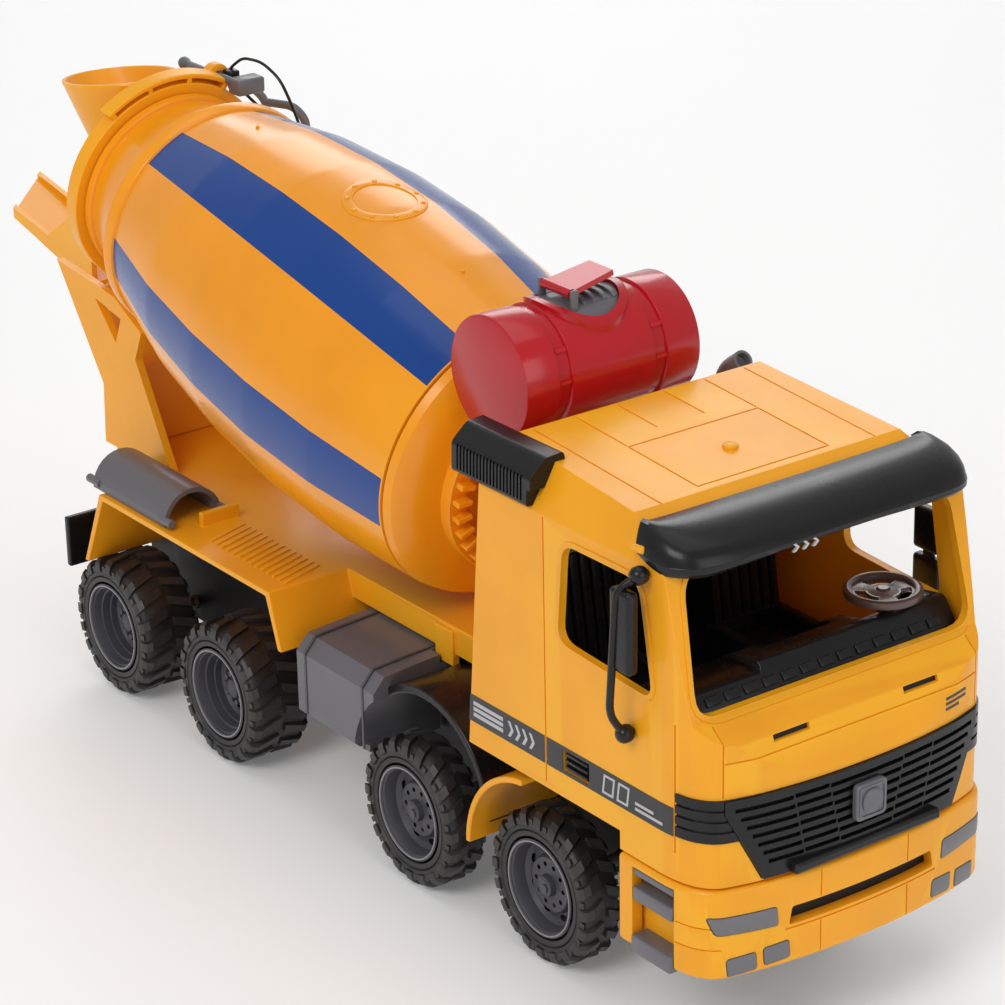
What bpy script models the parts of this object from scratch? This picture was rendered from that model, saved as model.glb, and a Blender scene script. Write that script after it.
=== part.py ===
"""Toy cement mixer: an eight-wheeled 1:24 plastic truck with a turning drum.

Stations are in millimetres: x forward from the rearmost axle, y to the truck's left, z up from
the ground. metres() turns them into the part's frame, whose origin is under the middle of the toy.
"""

import math

import bmesh
import bpy
from mathutils import Euler, Matrix, Vector

MM = 0.001
GAP = 0.3
ORIGIN_X = 85.55

# Running gear
TYRE_R = 22.5
RIM_R = 14.3
AXLE_R = 2.0
AXLE_X = {"rear": 0.0, "third": 62.0, "second": 162.0, "front": 220.0}
TRACK_OUTER = {"rear": 48.0, "third": 48.0, "second": 48.0, "front": 45.5}
TYRE_WIDTH = {"rear": 21.0, "third": 21.0, "second": 13.5, "front": 13.5}

# Chassis and deck
FRAME_HALF = 16.0
FRAME_Z = (17.0, 60.5)
FRAME_X = (-26.0, 276.0)
BEAM_HALF = 22.0
BEAM_Z = (60.8, 69.5)
DECK_TOP = 69.5
DECK_HALF = 50.0
SHEET = 1.8

# Drum, measured along its axis from DRUM_X towards the mouth
DRUM_X = 60.0
DRUM_Z = 134.5
DRUM_TILT = math.radians(11.9)
DRUM_SEAM = -91.0
DRUM_MOUTH = 89.0
DRUM_WALL = 1.8
CROWN_R = 30.2
CROWN_TEETH = 32
TOOTH_RING_R = 26.3
PINION_TEETH = 8
PINION_R = 7.4
PINION_ROOT = 5.2
PINION_ALONG = -113.4
PINION_X = DRUM_X - PINION_ALONG * math.cos(DRUM_TILT)
PINION_Z = DRUM_Z + PINION_ALONG * math.sin(DRUM_TILT)
JOURNAL_R = 4.0
SHAFT_R = 2.0

# Rear fittings
LUG_AT = (-28.5, 19.2, 185.0)
LUG_R = 4.0
LEVER_R = 1.6
CHUTE_PIN_X = -67.0
CHUTE_PIN_R = 2.2
CHUTE_HALF = 11.0
EXTENSION_Y = -38.0
LADDER_Y = 45.0

# Cab
CAB_HALF = 50.0
CAB_WALL = 2.0
CAB_FLOOR_Z = 59.5
CAB_FRONT_X = 300.5
MIRROR_TOP = (273.5, 136.0)
MIRROR_LOW = (267.6, 90.3)

# Mirror heads: x, distance out and z ranges. The right one is turned further forward.
MIRROR_HEAD = {
    "left": ((257.0, 267.0), (54.8, 58.3), (97.0, 121.5)),
    "right": ((267.4, 275.4), (54.0, 57.6), (110.0, 132.5)),
}
BUMPER_Z = (28.3, 53.7)
STEP_X = (268.0, 284.5)
STEERING_CENTRE = (273.4, 29.5, 108.6)
STEERING_R = 10.6

# Lamp windows in one half of the bumper: name, y range, z range
LAMP_WINDOWS = (
    ("head", 28.0, 46.6, 40.2, 46.4),
    ("fog_in", 24.4, 32.6, 30.0, 35.6),
    ("fog_out", 34.0, 42.6, 28.6, 34.6),
)

# Tank
TANK_X = 181.0
TANK_Z = 155.4
TANK_R = 17.6
TANK_HALF = 29.7
NECK_R = 14.1
CAP_R = 11.5
LATCH_PIN = (181.6, -6.4, 175.8)
LATCH_PIN_R = 1.4
LATCH_HALF = 6.2
LATCH_SLOPE = math.radians(10)

COLOURS = {
    "yellow": ((0.92, 0.36, 0.02), 0.32),
    "red": ((0.52, 0.008, 0.012), 0.28),
    "black": ((0.012, 0.011, 0.012), 0.45),
    "grey": ((0.16, 0.16, 0.175), 0.45),
    "rubber": ((0.02, 0.019, 0.02), 0.65),
    "brown": ((0.10, 0.075, 0.075), 0.4),
}


def metres(x, y, z):
    return Vector(((x - ORIGIN_X) * MM, y * MM, z * MM))


# ---------------------------------------------------------------- scene and objects


def clear_scene():
    for obj in list(bpy.data.objects):
        bpy.data.objects.remove(obj)


def new_collection(name):
    collection = bpy.data.collections.new(name)
    bpy.context.scene.collection.children.link(collection)
    return collection


def add_object(name, mesh, colour=None):
    obj = bpy.data.objects.new(name, mesh)
    PARTS.objects.link(obj)
    if colour:
        paint(obj, colour)
    return obj


def paint(obj, colour):
    base, roughness = COLOURS[colour]
    material = bpy.data.materials.new(obj.name + "_" + colour)
    material.use_nodes = True
    shader = material.node_tree.nodes["Principled BSDF"]
    shader.inputs["Base Color"].default_value = (*base, 1.0)
    shader.inputs["Roughness"].default_value = roughness
    shader.inputs["Metallic"].default_value = 0.0
    material.diffuse_color = (*base, 1.0)
    obj.data.materials.clear()
    obj.data.materials.append(material)
    return obj


def mesh_from(bm, name):
    mesh = bpy.data.meshes.new(name)
    bm.to_mesh(mesh)
    bm.free()
    return mesh


def to_cutters(obj):
    PARTS.objects.unlink(obj)
    CUTTERS.objects.link(obj)
    obj.hide_render = True
    obj.display_type = "WIRE"


def boolean(target, other, operation):
    """Adds a Boolean to target, and moves the other object to the cutters."""
    modifier = target.modifiers.new(operation.lower() + "_" + other.name, "BOOLEAN")
    modifier.operation = operation
    modifier.solver = "EXACT"
    modifier.object = other
    if other.name in PARTS.objects:
        to_cutters(other)
    return target


def cut(target, *others):
    for other in others:
        boolean(target, other, "DIFFERENCE")
    return target


def join(target, *others):
    for other in others:
        boolean(target, other, "UNION")
    return target


def keep_inside(target, other):
    return boolean(target, other, "INTERSECT")


def bevel(obj, width, segments=2, limit=40):
    modifier = obj.modifiers.new("bevel", "BEVEL")
    modifier.width = width * MM
    modifier.segments = segments
    modifier.limit_method = "ANGLE"
    modifier.angle_limit = math.radians(limit)
    return obj


# ---------------------------------------------------------------- basic shapes


def box(name, x, y, z, colour=None, round_by=0.0):
    """A box between the given limits, each a (low, high) pair."""
    bm = bmesh.new()
    bmesh.ops.create_cube(bm, size=1.0)
    sides = Vector((x[1] - x[0], y[1] - y[0], z[1] - z[0])) * MM
    bmesh.ops.scale(bm, vec=sides, verts=bm.verts)
    obj = add_object(name, mesh_from(bm, name), colour)
    obj.location = metres(sum(x) / 2, sum(y) / 2, sum(z) / 2)
    if round_by:
        bevel(obj, round_by)
    return obj


def cylinder(name, centre, radius, length, axis="Y", steps=20, colour=None, top_radius=None):
    bm = bmesh.new()
    top = radius if top_radius is None else top_radius
    bmesh.ops.create_cone(
        bm, cap_ends=True, segments=steps, radius1=radius * MM, radius2=top * MM, depth=length * MM
    )
    obj = add_object(name, mesh_from(bm, name), colour)
    obj.location = metres(*centre)
    obj.rotation_euler = AXIS_TURN[axis]
    smooth(obj)
    return obj


def smooth(obj):
    obj.data.shade_smooth()
    obj.data.set_sharp_from_angle(angle=math.radians(35))


def plate(name, outline, plane, at, thickness, colour=None):
    """A flat outline in the xz, yz or xy plane, extruded to both sides of at."""
    curve = bpy.data.curves.new(name, "CURVE")
    curve.dimensions = "2D"
    curve.fill_mode = "BOTH"
    curve.extrude = thickness / 2 * MM
    spline = curve.splines.new("POLY")
    spline.points.add(len(outline) - 1)
    for point, (u, v) in zip(spline.points, outline):
        shift = ORIGIN_X if plane != "yz" else 0.0
        point.co = ((u - shift) * MM, v * MM, 0.0, 1.0)
    spline.use_cyclic_u = True
    guide = add_object(name + "_outline", curve)
    offset = {"xz": (0, at, 0), "yz": (at - ORIGIN_X, 0, 0), "xy": (0, 0, at)}[plane]
    guide.location = Vector(offset) * MM
    guide.rotation_euler = PLANE_TURN[plane]
    return meshed(guide, name, colour)


def meshed(guide, name, colour=None):
    """The curve object as a mesh object, with its caps welded on."""
    bpy.context.view_layer.update()
    graph = bpy.context.evaluated_depsgraph_get()
    mesh = bpy.data.meshes.new_from_object(guide.evaluated_get(graph))
    bm = bmesh.new()
    bm.from_mesh(mesh)
    bmesh.ops.remove_doubles(bm, verts=bm.verts, dist=1e-6)
    bmesh.ops.recalc_face_normals(bm, faces=bm.faces)
    bm.to_mesh(mesh)
    bm.free()
    matrix = guide.matrix_world.copy()
    bpy.data.objects.remove(guide)
    obj = add_object(name, mesh, colour)
    obj.matrix_world = matrix
    return obj


def tube(name, points, radius, colour=None, closed=False):
    curve = bpy.data.curves.new(name, "CURVE")
    curve.dimensions = "3D"
    curve.bevel_depth = radius * MM
    curve.bevel_resolution = 2
    curve.use_fill_caps = True
    spline = curve.splines.new("POLY")
    spline.points.add(len(points) - 1)
    for point, place in zip(spline.points, points):
        point.co = (*metres(*place), 1.0)
    spline.use_cyclic_u = closed
    guide = add_object(name + "_path", curve)
    return meshed(guide, name, colour)


def turned(name, profile, steps, colour=None, closed=True):
    """A solid of revolution about local Z. The profile lists (height, radius), outer side from the top."""
    bm = bmesh.new()
    verts = [bm.verts.new((radius * MM, 0, height * MM)) for height, radius in profile]
    pairs = list(zip(verts, verts[1:]))
    if closed:
        pairs.append((verts[-1], verts[0]))
    for pair in pairs:
        bm.edges.new(pair)
    obj = add_object(name, mesh_from(bm, name), colour)
    screw = obj.modifiers.new("turn", "SCREW")
    screw.axis = "Z"
    screw.steps = steps
    screw.render_steps = steps
    screw.use_merge_vertices = True
    screw.merge_threshold = 0.00001
    screw.use_normal_calculate = False
    screw.use_smooth_shade = True
    return obj


def inset(outline, distance):
    """The outline moved inwards by distance. It runs anticlockwise."""
    moved = []
    count = len(outline)
    for i in range(count):
        before = Vector(outline[i - 1])
        here = Vector(outline[i])
        after = Vector(outline[(i + 1) % count])
        first = (here - before).normalized()
        second = (after - here).normalized()
        inward = Vector((-first.y - second.y, first.x + second.x)).normalized()
        share = distance / max(0.3, inward.dot(Vector((-first.y, first.x))))
        moved.append(tuple(here + inward * share))
    return moved


def arc(centre, radius, start, end, steps):
    """Points on an arc, angles in degrees."""
    points = []
    for i in range(steps + 1):
        angle = math.radians(start + (end - start) * i / steps)
        points.append((centre[0] + radius * math.cos(angle), centre[1] + radius * math.sin(angle)))
    return points


AXIS_TURN = {
    "X": Euler((0, math.pi / 2, 0)),
    "Y": Euler((-math.pi / 2, 0, 0)),
    "Z": Euler((0, 0, 0)),
}
PLANE_TURN = {
    "xz": Euler((math.pi / 2, 0, 0)),
    "yz": Euler((math.pi / 2, 0, math.pi / 2)),
    "xy": Euler((0, 0, 0)),
}


# ---------------------------------------------------------------- wheels


def tyre_profile(width):
    half = width / 2
    bore = RIM_R + GAP
    return [
        (half - 1.2, bore), (half, 19.0), (half - 1.8, TYRE_R),
        (1.8 - half, TYRE_R), (-half, 19.0), (1.2 - half, bore),
    ]


def rim_profile(width, dish, hub_out):
    """A wheel disc set in by dish from the outer face, with a hub that stands out by hub_out."""
    half = width / 2 - 0.8
    disc = half - dish
    bore = AXLE_R + GAP
    return [
        (half, RIM_R), (-half, RIM_R), (-half, 12.6), (disc - 2.0, 11.0), (disc - 2.0, bore),
        (disc + hub_out, bore), (disc + hub_out, 4.2), (disc + 0.6, 5.6), (disc, 10.0), (half, 13.2),
    ]


def wheel_set(place):
    """An axle with a rim and a tyre at each end."""
    x = AXLE_X[place]
    width = TYRE_WIDTH[place]
    outer = TRACK_OUTER[place]
    deep = place in ("rear", "third")
    half_axle = outer - (9.5 if deep else 5.0)
    cylinder("axle_" + place, (x, 0, TYRE_R), AXLE_R, 2 * half_axle, "Y", 16, "grey")
    dish, hub = (8.5, 4.0) if deep else (4.0, 2.6)
    for side, sign in (("left", 1), ("right", -1)):
        rim = turned("rim_%s_%s" % (place, side), rim_profile(width, dish, hub), 20, "grey")
        tyre = turned("tyre_%s_%s" % (place, side), tyre_profile(width), 24, "rubber")
        for obj in (rim, tyre):
            obj.location = metres(x, sign * (outer - width / 2), TYRE_R)
            obj.rotation_euler = Euler((-sign * math.pi / 2, 0, 0))


# ---------------------------------------------------------------- chassis and deck


def chassis_frame():
    frame = box("chassis_frame", FRAME_X, (-FRAME_HALF, FRAME_HALF), FRAME_Z, "black")
    inner = FRAME_HALF - 2.4
    length = (FRAME_X[0] + 2.4, FRAME_X[1] - 2.4)
    cavity = box("frame_cavity", length, (-inner, inner), (0, FRAME_Z[1] - 2.4))
    cut(frame, cavity)
    for place, x in AXLE_X.items():
        cut(frame, cylinder("frame_bore_" + place, (x, 0, TYRE_R), AXLE_R + GAP, 60, "Y", 16))
    return frame


def mudflap_board():
    """The black board across the back, behind the rearmost wheels, bolted to the end of the frame."""
    outline = [(-46, 34), (46, 34), (46, 51), (24, 51), (24, 56), (-24, 56), (-24, 51), (-46, 51)]
    return plate("mudflap_board", outline, "yz", -27.6, 2.4, "black")


def rear_deck():
    """The yellow upper frame with the folded mudguard sheet over the rear wheels, one moulding."""
    beam = box("rear_deck", (-34, 196), (-BEAM_HALF, BEAM_HALF), BEAM_Z, "yellow")
    top = [(-9.5, 43.5), (2.0, DECK_TOP), (98.0, DECK_TOP), (103.5, 52.0)]
    lower = [(x - sign * SHEET, z - drop) for (x, z), sign, drop in zip(
        reversed(top), (1.05, 1.0, -1.0, -1.05), (0.0, SHEET, SHEET, 0.0))]
    sheet = plate("mudguard_sheet", top + lower, "xz", 0, 2 * DECK_HALF)
    slot = box("mudguard_middle", (-20, 110), (-FRAME_HALF - 1, FRAME_HALF + 1), (30, BEAM_Z[0]))
    cut(sheet, slot)
    join(beam, sheet)
    for sign in (1, -1):
        near = sorted((sign * 25.5, sign * 39.0))
        join(beam, box("deck_lip_%d" % sign, (43.0, 45.0), near, (68.0, 74.0)))
        clip = sorted((sign * 20.5, sign * 23.2))
        join(beam, box("deck_clip_%d" % sign, (143.5, 152.0), clip, (57.5, 68.5)))
    return beam


def side_box(side, sign):
    """The grey tool box with the black arch over the second wheel moulded on in one piece."""
    inner, outer = 17.0, 47.5
    section = [
        (inner, 33.0), (outer - 2, 33.0), (outer, 35.0), (outer, 54.0), (outer - 4, 58.5), (inner, 60.3),
    ]
    body = plate("side_box_" + side, [(sign * u, v) for u, v in section], "yz", 127.5, 39.0, "grey")
    centre = (164.0, 30.0)
    ring = arc(centre, 30.0, 180, 0, 16) + arc(centre, 27.8, 0, 180, 16)
    reach = 42.0
    mid = sign * (inner + reach) / 2
    arch = plate("arch_" + side, ring, "xz", mid, reach - inner)
    join(body, arch)
    cut(body, cylinder("arch_room_" + side, (centre[0], sign * 40.0, centre[1]), 27.8, 60, "Y", 48))
    clip_room = sorted((sign * 16.0, sign * 24.0))
    return cut(body, box("clip_room_" + side, (142.8, 153.0), clip_room, (56.8, 62.0)))


# ---------------------------------------------------------------- drum


def drum_place(along, radius=0.0, angle=0.0):
    """The station of a point at this distance along the drum's axis. Angle 0 is the drum's top."""
    cos_t = math.cos(DRUM_TILT)
    sin_t = math.sin(DRUM_TILT)
    up = radius * math.cos(angle)
    return (
        DRUM_X - along * cos_t + up * sin_t,
        radius * math.sin(angle),
        DRUM_Z + along * sin_t + up * cos_t,
    )


def set_on_drum_axis(obj):
    obj.location = metres(DRUM_X, 0, DRUM_Z)
    obj.rotation_euler = Euler((0, DRUM_TILT - math.pi / 2, 0))
    return obj


def body_radius(along):
    """The barrel's outer radius between its front seam and its rear bend."""
    return 50.0 - 0.00145 * (along + 27.0) ** 2


def drum_shell():
    lip = DRUM_MOUTH - 3.0
    outer = [(93.6, 28.0), (DRUM_MOUTH, 28.0), (DRUM_MOUTH, 31.8), (lip, 31.8), (lip - 0.6, 30.8)]
    outer += [(66.0, 36.6), (65.6, 39.2), (61.6, 39.2), (61.0, 38.0)]
    stations = [30.6 - i * (30.6 - DRUM_SEAM) / 5 for i in range(6)]
    outer += [(s, body_radius(s)) for s in stations]
    inner = [(s, body_radius(s) - DRUM_WALL) for s in reversed(stations)]
    inner += [(61.0, 36.2), (86.0, 28.6), (89.0, 26.2), (93.6, 26.2)]
    return set_on_drum_axis(turned("drum_shell", outer + inner, 32, "yellow"))


def drum_front_bowl():
    """The front bowl with its crown gear and the journal pin that runs in the front pedestal."""
    edge = body_radius(DRUM_SEAM) - DRUM_WALL - GAP
    seam = DRUM_SEAM - GAP
    profile = [
        (seam - 8.5, 0.0), (seam - 8.5, CROWN_R - 6.0), (seam - 2.0, edge - 3.5), (seam + 4.0, edge - 1.8),
        (seam + 4.0, edge), (seam, edge), (seam, edge + 1.7), (seam - 3.5, edge - 1.0),
        (seam - 7.5, edge - 7.0),
        (seam - 9.5, CROWN_R), (seam - 13.0, CROWN_R), (seam - 13.0, CROWN_R - 6.0),
        (seam - 10.5, CROWN_R - 7.0), (seam - 10.5, JOURNAL_R), (seam - 22.0, JOURNAL_R),
        (seam - 22.0, 0.0),
    ]
    bowl = turned("drum_front_bowl", profile, 32, "yellow", closed=False)
    bowl = set_on_drum_axis(bowl)
    bm = bmesh.new()
    for i in range(CROWN_TEETH):
        turn = Matrix.Rotation(2 * math.pi * i / CROWN_TEETH, 4, "Z")
        place = turn @ Matrix.Translation(Vector((TOOTH_RING_R, 0, seam - 14.0)) * MM)
        size = Matrix.Diagonal((5.0 * MM, 1.8 * MM, 3.6 * MM, 1.0))
        bmesh.ops.create_cube(bm, size=1.0, matrix=place @ size)
    teeth = set_on_drum_axis(add_object("crown_teeth", mesh_from(bm, "crown_teeth")))
    return join(bowl, teeth)


def mouth_collar():
    """The fixed collar behind the drum's mouth, with the lug that carries the lever."""
    bore = 28.6
    profile = [(95.2, 34.8), (89.4, 34.8), (89.4, bore), (94.0, bore), (94.0, 26.0), (95.2, 26.0)]
    collar = set_on_drum_axis(turned("mouth_collar", profile, 36, "yellow"))
    x, y, z = LUG_AT
    lug = cylinder("collar_lug", LUG_AT, LUG_R, 4.0, "X", 16)
    foot = box("collar_lug_foot", (x - 1.6, x + 1.6), (y - 3.1, y + 2.3), (z - 7.5, z + 0.4))
    join(collar, lug, foot)
    return cut(collar, cylinder("collar_lug_bore", LUG_AT, LEVER_R + GAP, 12.0, "X", 16))


def loft(name, rings, colour=None):
    """A closed solid through rings of equal length, with flat ends."""
    bm = bmesh.new()
    rows = [[bm.verts.new(metres(*point)) for point in ring] for ring in rings]
    for low, high in zip(rows, rows[1:]):
        for i in range(len(low)):
            j = (i + 1) % len(low)
            bm.faces.new((low[i], low[j], high[j], high[i]))
    bm.faces.new(list(reversed(rows[0])))
    bm.faces.new(rows[-1])
    bmesh.ops.recalc_face_normals(bm, faces=bm.faces)
    return add_object(name, mesh_from(bm, name), colour)


def hopper_ring(centre, reach_x, reach_y, slope, count=20):
    """A tilted oval: slope raises it towards the front."""
    ring = []
    for i in range(count):
        angle = 2 * math.pi * i / count
        dx = reach_x * math.cos(angle)
        ring.append((centre[0] + dx, reach_y * math.sin(angle), centre[2] + slope * dx))
    return ring


def feed_hopper():
    """The open funnel on top of the collar, which guides the load into the mouth."""
    top = hopper_ring((-55.5, 0, 182.5), 22.5, 17.0, 0.16)
    low = hopper_ring((-45.0, 0, 156.0), 9.0, 12.0, 0.22)
    top_inner = hopper_ring((-55.5, 0, 183.5), 20.9, 15.4, 0.16)
    low_inner = hopper_ring((-45.0, 0, 154.0), 7.4, 10.4, 0.22)
    funnel = loft("feed_hopper", [low, top], "yellow")
    cut(funnel, loft("hopper_room", [low_inner, top_inner]))
    near = 95.2 + GAP
    profile = [(near, 0), (near, 60), (60.0, 60), (60.0, 0)]
    clear = set_on_drum_axis(turned("hopper_clearance", profile, 30, closed=False))
    return cut(funnel, clear)


def discharge_chute():
    """The open trough under the mouth that swings to either side on its upright pin."""
    side = [
        (-62.0, 111.9), (-62.0, 136.0), (-70.2, 136.0), (-90.0, 122.6), (-132.5, 130.2),
        (-132.0, 127.4), (-113.0, 123.2),
        (-98.3, 119.7), (-83.4, 116.0),
    ]
    trough = plate("discharge_chute", side, "xz", 0, 2 * CHUTE_HALF, "yellow")
    room = [
        (-60.0, 113.1), (-60.0, 144.0), (-140.0, 144.0), (-140.0, 130.7), (-132.0, 128.9),
        (-113.0, 124.7), (-98.3, 121.2),
        (-83.4, 117.5),
    ]
    cut(trough, plate("chute_room", room, "xz", 0, 2 * (CHUTE_HALF - 2.0)))
    plan = [(-50.0, -20.0), (-104.3, -20.0), (-140.7, 20.0), (-50.0, 20.0)]
    keep_inside(trough, plate("chute_plan", plan, "xy", 125.0, 60.0))
    catch = [(-97.0, 120.4), (-92.0, 114.6), (-86.5, 114.6), (-84.5, 117.2)]
    hook = plate("chute_hook", catch, "xz", 0, 12.0)
    pin = cylinder("chute_pin", (CHUTE_PIN_X, 0, 111.0), CHUTE_PIN_R, 9.0, "Z", 14)
    return join(trough, hook, pin)


def rear_pedestal():
    """The A-shaped stand that carries the collar, the hopper and the chute."""
    outline = [
        (-59.0, 125.5), (-34.0, 90.0), (-35.0, 69.8), (6.0, 69.8), (-13.0, 104.0), (-8.5, 114.0),
        (-24.0, 122.0),
    ]
    hole = [(-36.0, 118.5), (-24.5, 106.5), (-20.5, 115.5)]
    stand = plate("rear_pedestal", outline, "xz", 24.0, 2.6, "yellow")
    cut(stand, plate("stand_hole_left", hole, "xz", 24.0, 5.0))
    right = plate("stand_right", outline, "xz", -24.0, 2.6)
    cut(right, plate("stand_hole_right", hole, "xz", -24.0, 5.0))
    section = [(-35.0, 69.8), (-25.0, 69.8), (-27.0, 96.0), (-48.0, 108.5), (-46.0, 107.0), (-34.0, 90.0)]
    wall = plate("stand_wall", section, "xz", 0, 49.0)
    socket = cylinder("chute_socket", (CHUTE_PIN_X, 0, 105.0), 4.6, 6.5, "Z", 18)
    arm = box("socket_arm", (CHUTE_PIN_X, -42.0), (-3.5, 3.5), (101.8, 107.8))
    join(stand, right, wall, arm, socket)
    return cut(stand, cylinder("socket_bore", (CHUTE_PIN_X, 0, 111.0), CHUTE_PIN_R + GAP, 9.6, "Z", 14))


def front_pedestal():
    """The stand between the drum and the cab: journal bearing below, tank saddle on top."""
    outline = [(172.0, 69.8), (194.0, 69.8), (191.0, 100.0), (191.0, 141.0), (172.0, 141.0), (172.0, 100.0)]
    stand = plate("front_pedestal", outline, "xz", 0, 38.0, "yellow")
    join(stand, box("journal_boss", (165.0, 173.0), (-19.0, 19.0), (103.0, 119.0)))
    cut(stand, cylinder("tank_saddle", (TANK_X, 0, TANK_Z), TANK_R + GAP, 60, "Y", 36))
    profile = [(-100.0, 0), (-100.0, JOURNAL_R + GAP), (-113.9, JOURNAL_R + GAP), (-113.9, 0)]
    cut(stand, set_on_drum_axis(turned("journal_bore", profile, 20, closed=False)))
    return cut(stand, cylinder("crank_bore", (PINION_X, 17.5, PINION_Z), SHAFT_R + GAP, 25, "Y", 16))


def drum_drive():
    """A pinion on a cross shaft, turned by a knob on the left, meshing with the crown gear."""
    shaft = cylinder("drive_crank", (PINION_X, 26.5, PINION_Z), SHAFT_R, 39.0, "Y", 16, "grey")
    gap_towards_crown = math.pi - DRUM_TILT
    corners = ((-0.125, PINION_ROOT), (0.125, PINION_ROOT), (0.33, PINION_R), (0.67, PINION_R))
    outline = []
    for i in range(PINION_TEETH):
        for part, radius in corners:
            angle = gap_towards_crown + 2 * math.pi * (i + part) / PINION_TEETH
            outline.append((PINION_X + radius * math.cos(angle), PINION_Z + radius * math.sin(angle)))
    pinion = plate("pinion_teeth", outline, "xz", TOOTH_RING_R, 5.0)
    knob = cylinder("crank_knob", (PINION_X, 48.0, PINION_Z), 7.0, 5.0, "Y", 14)
    return join(shaft, pinion, knob)


# ---------------------------------------------------------------- cab


def cab_side_outline():
    return [
        (196.5, CAB_FLOOR_Z), (262.0, CAB_FLOOR_Z), (262.0, 54.2), (308.0, 54.2), (301.0, 78.0),
        (296.0, 93.5),
        (288.8, 99.5), (280.3, 137.0), (262.0, 147.0), (208.0, 151.0), (203.5, 138.0),
    ]


def cab_front_outline():
    """Half of the cab seen from the front: upright side, then the slope of the roof's edge."""
    return [(0.0, 50.0), (CAB_HALF, 50.0), (CAB_HALF, 137.5), (42.5, 151.0), (38.0, 156.0), (0.0, 156.0)]


def front_plan(back_x, half, forward=0.0):
    """The cab and bumper seen from above: straight sides, round front corners, a slightly bowed face."""
    corner = [(282.0, -half), (289.5, -half + 1.6), (294.5, -half + 5.4), (297.6, -34.0), (299.8, -18.0)]
    right = [(back_x, -half)] + [(x + forward, y) for x, y in corner]
    left = [(x, -y) for x, y in reversed(right)]
    return right + [(CAB_FRONT_X + forward, 0.0)] + left


def both_sides(outline):
    return outline[1:-1] + [(-u, v) for u, v in reversed(outline[1:-1])]


def cab_block(name, inset_by):
    """The cab's outer form, or the room inside it when inset."""
    side = plate(name + "_side", inset(cab_side_outline(), inset_by), "xz", 0, 130.0)
    front = both_sides(cab_front_outline())
    plan = front_plan(180.0, CAB_HALF)
    if inset_by:
        front = inset(front, inset_by)
        plan = inset(plan, inset_by)
    keep_inside(side, plate(name + "_front", front, "yz", 250.0, 140.0))
    keep_inside(side, plate(name + "_plan", plan, "xy", 100.0, 140.0))
    return side


def cab_shell():
    shell = cab_block("cab_block", 0.0)
    shell.name = "cab_shell"
    paint(shell, "yellow")
    cut(shell, cab_block("cab_room", CAB_WALL))
    cut(shell, plate("cab_bottom", inset(front_plan(180.0, CAB_HALF), CAB_WALL), "xy", 53.0, 26.0))
    window = [(237.0, 104.3), (276.0, 102.0), (270.5, 132.8), (239.5, 132.6)]
    cut(shell, plate("side_windows", window, "xz", 0, 130.0))
    screen = [(-46.8, 99.8), (46.8, 99.8), (44.5, 137.0), (-44.5, 137.0)]
    cut(shell, plate("windscreen", screen, "yz", 290.0, 40.0))
    cut(shell, plate("grille_opening", grille_outline(GAP), "yz", 305.0, 30.0))
    for sign in (1, -1):
        for x, z in (MIRROR_TOP, MIRROR_LOW):
            cut(shell, cylinder("mirror_socket", (x, sign * CAB_HALF, z), 1.3, 7.0, "Y", 10))
    return shell


def grille_outline(grow):
    low, high = 54.9 - grow, 79.0 + grow
    right = [(32.5 + grow, low), (43.0 + grow, high - 4.0), (43.0 + grow, high)]
    return right + [(-y, z) for y, z in reversed(right)]


def grille():
    """The black front grille with its slats and lower bar, following the bowed face of the cab."""
    panel = plate("grille", grille_outline(0.0), "yz", 296.0, 14.0, "black")
    keep_inside(panel, plate("grille_face", front_plan(280.0, CAB_HALF, 0.6), "xy", 70.0, 60.0))
    cut(panel, plate("grille_back", front_plan(240.0, CAB_HALF, -3.4), "xy", 70.0, 60.0))
    for i in range(6):
        z = 60.0 + i * 3.2
        half = 30.0 + i * 1.7
        cut(panel, box("grille_gap_%d" % i, (298.4 - i * 0.1, 308.0), (-half, half), (z, z + 1.2)))
    return join(panel, box("grille_bar", (297.5, 301.9), (-25.5, 25.5), (54.9, 57.4)))


def front_badge():
    badge = box("front_badge", (301.5, 302.9), (-5.2, 5.2), (63.7, 73.7), "grey", 0.4)
    boss = cylinder("badge_boss", (303.0, 0, 68.7), 3.4, 1.2, "X", 20)
    return join(badge, boss)


def front_bumper():
    """The bumper with its side skirts, a U seen from above, with lamp windows and step pockets."""
    half = CAB_HALF + 0.8
    low, high = BUMPER_Z
    plan = front_plan(262.0, half, 1.0)
    bumper = plate("front_bumper", plan, "xy", (low + high) / 2, high - low, "yellow")
    cut(bumper, plate("bumper_room", inset(front_plan(240.0, half, 1.0), 3.2), "xy", 40.0, 60.0))
    cut(bumper, box("bumper_slot", (290.0, 310.0), (-25.0, 25.0), (41.0, 43.6)))
    for side, sign in (("left", 1), ("right", -1)):
        for name, near, far, low, high in LAMP_WINDOWS:
            span = sorted((sign * near, sign * far))
            cut(bumper, box("lamp_window_" + name, (285.0, 310.0), span, (low, high)))
        pocket = sorted((sign * 40.0, sign * 60.0))
        cut(bumper, box("step_window_" + side, STEP_X, pocket, (24.0, 52.0)))
    return bumper


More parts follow.
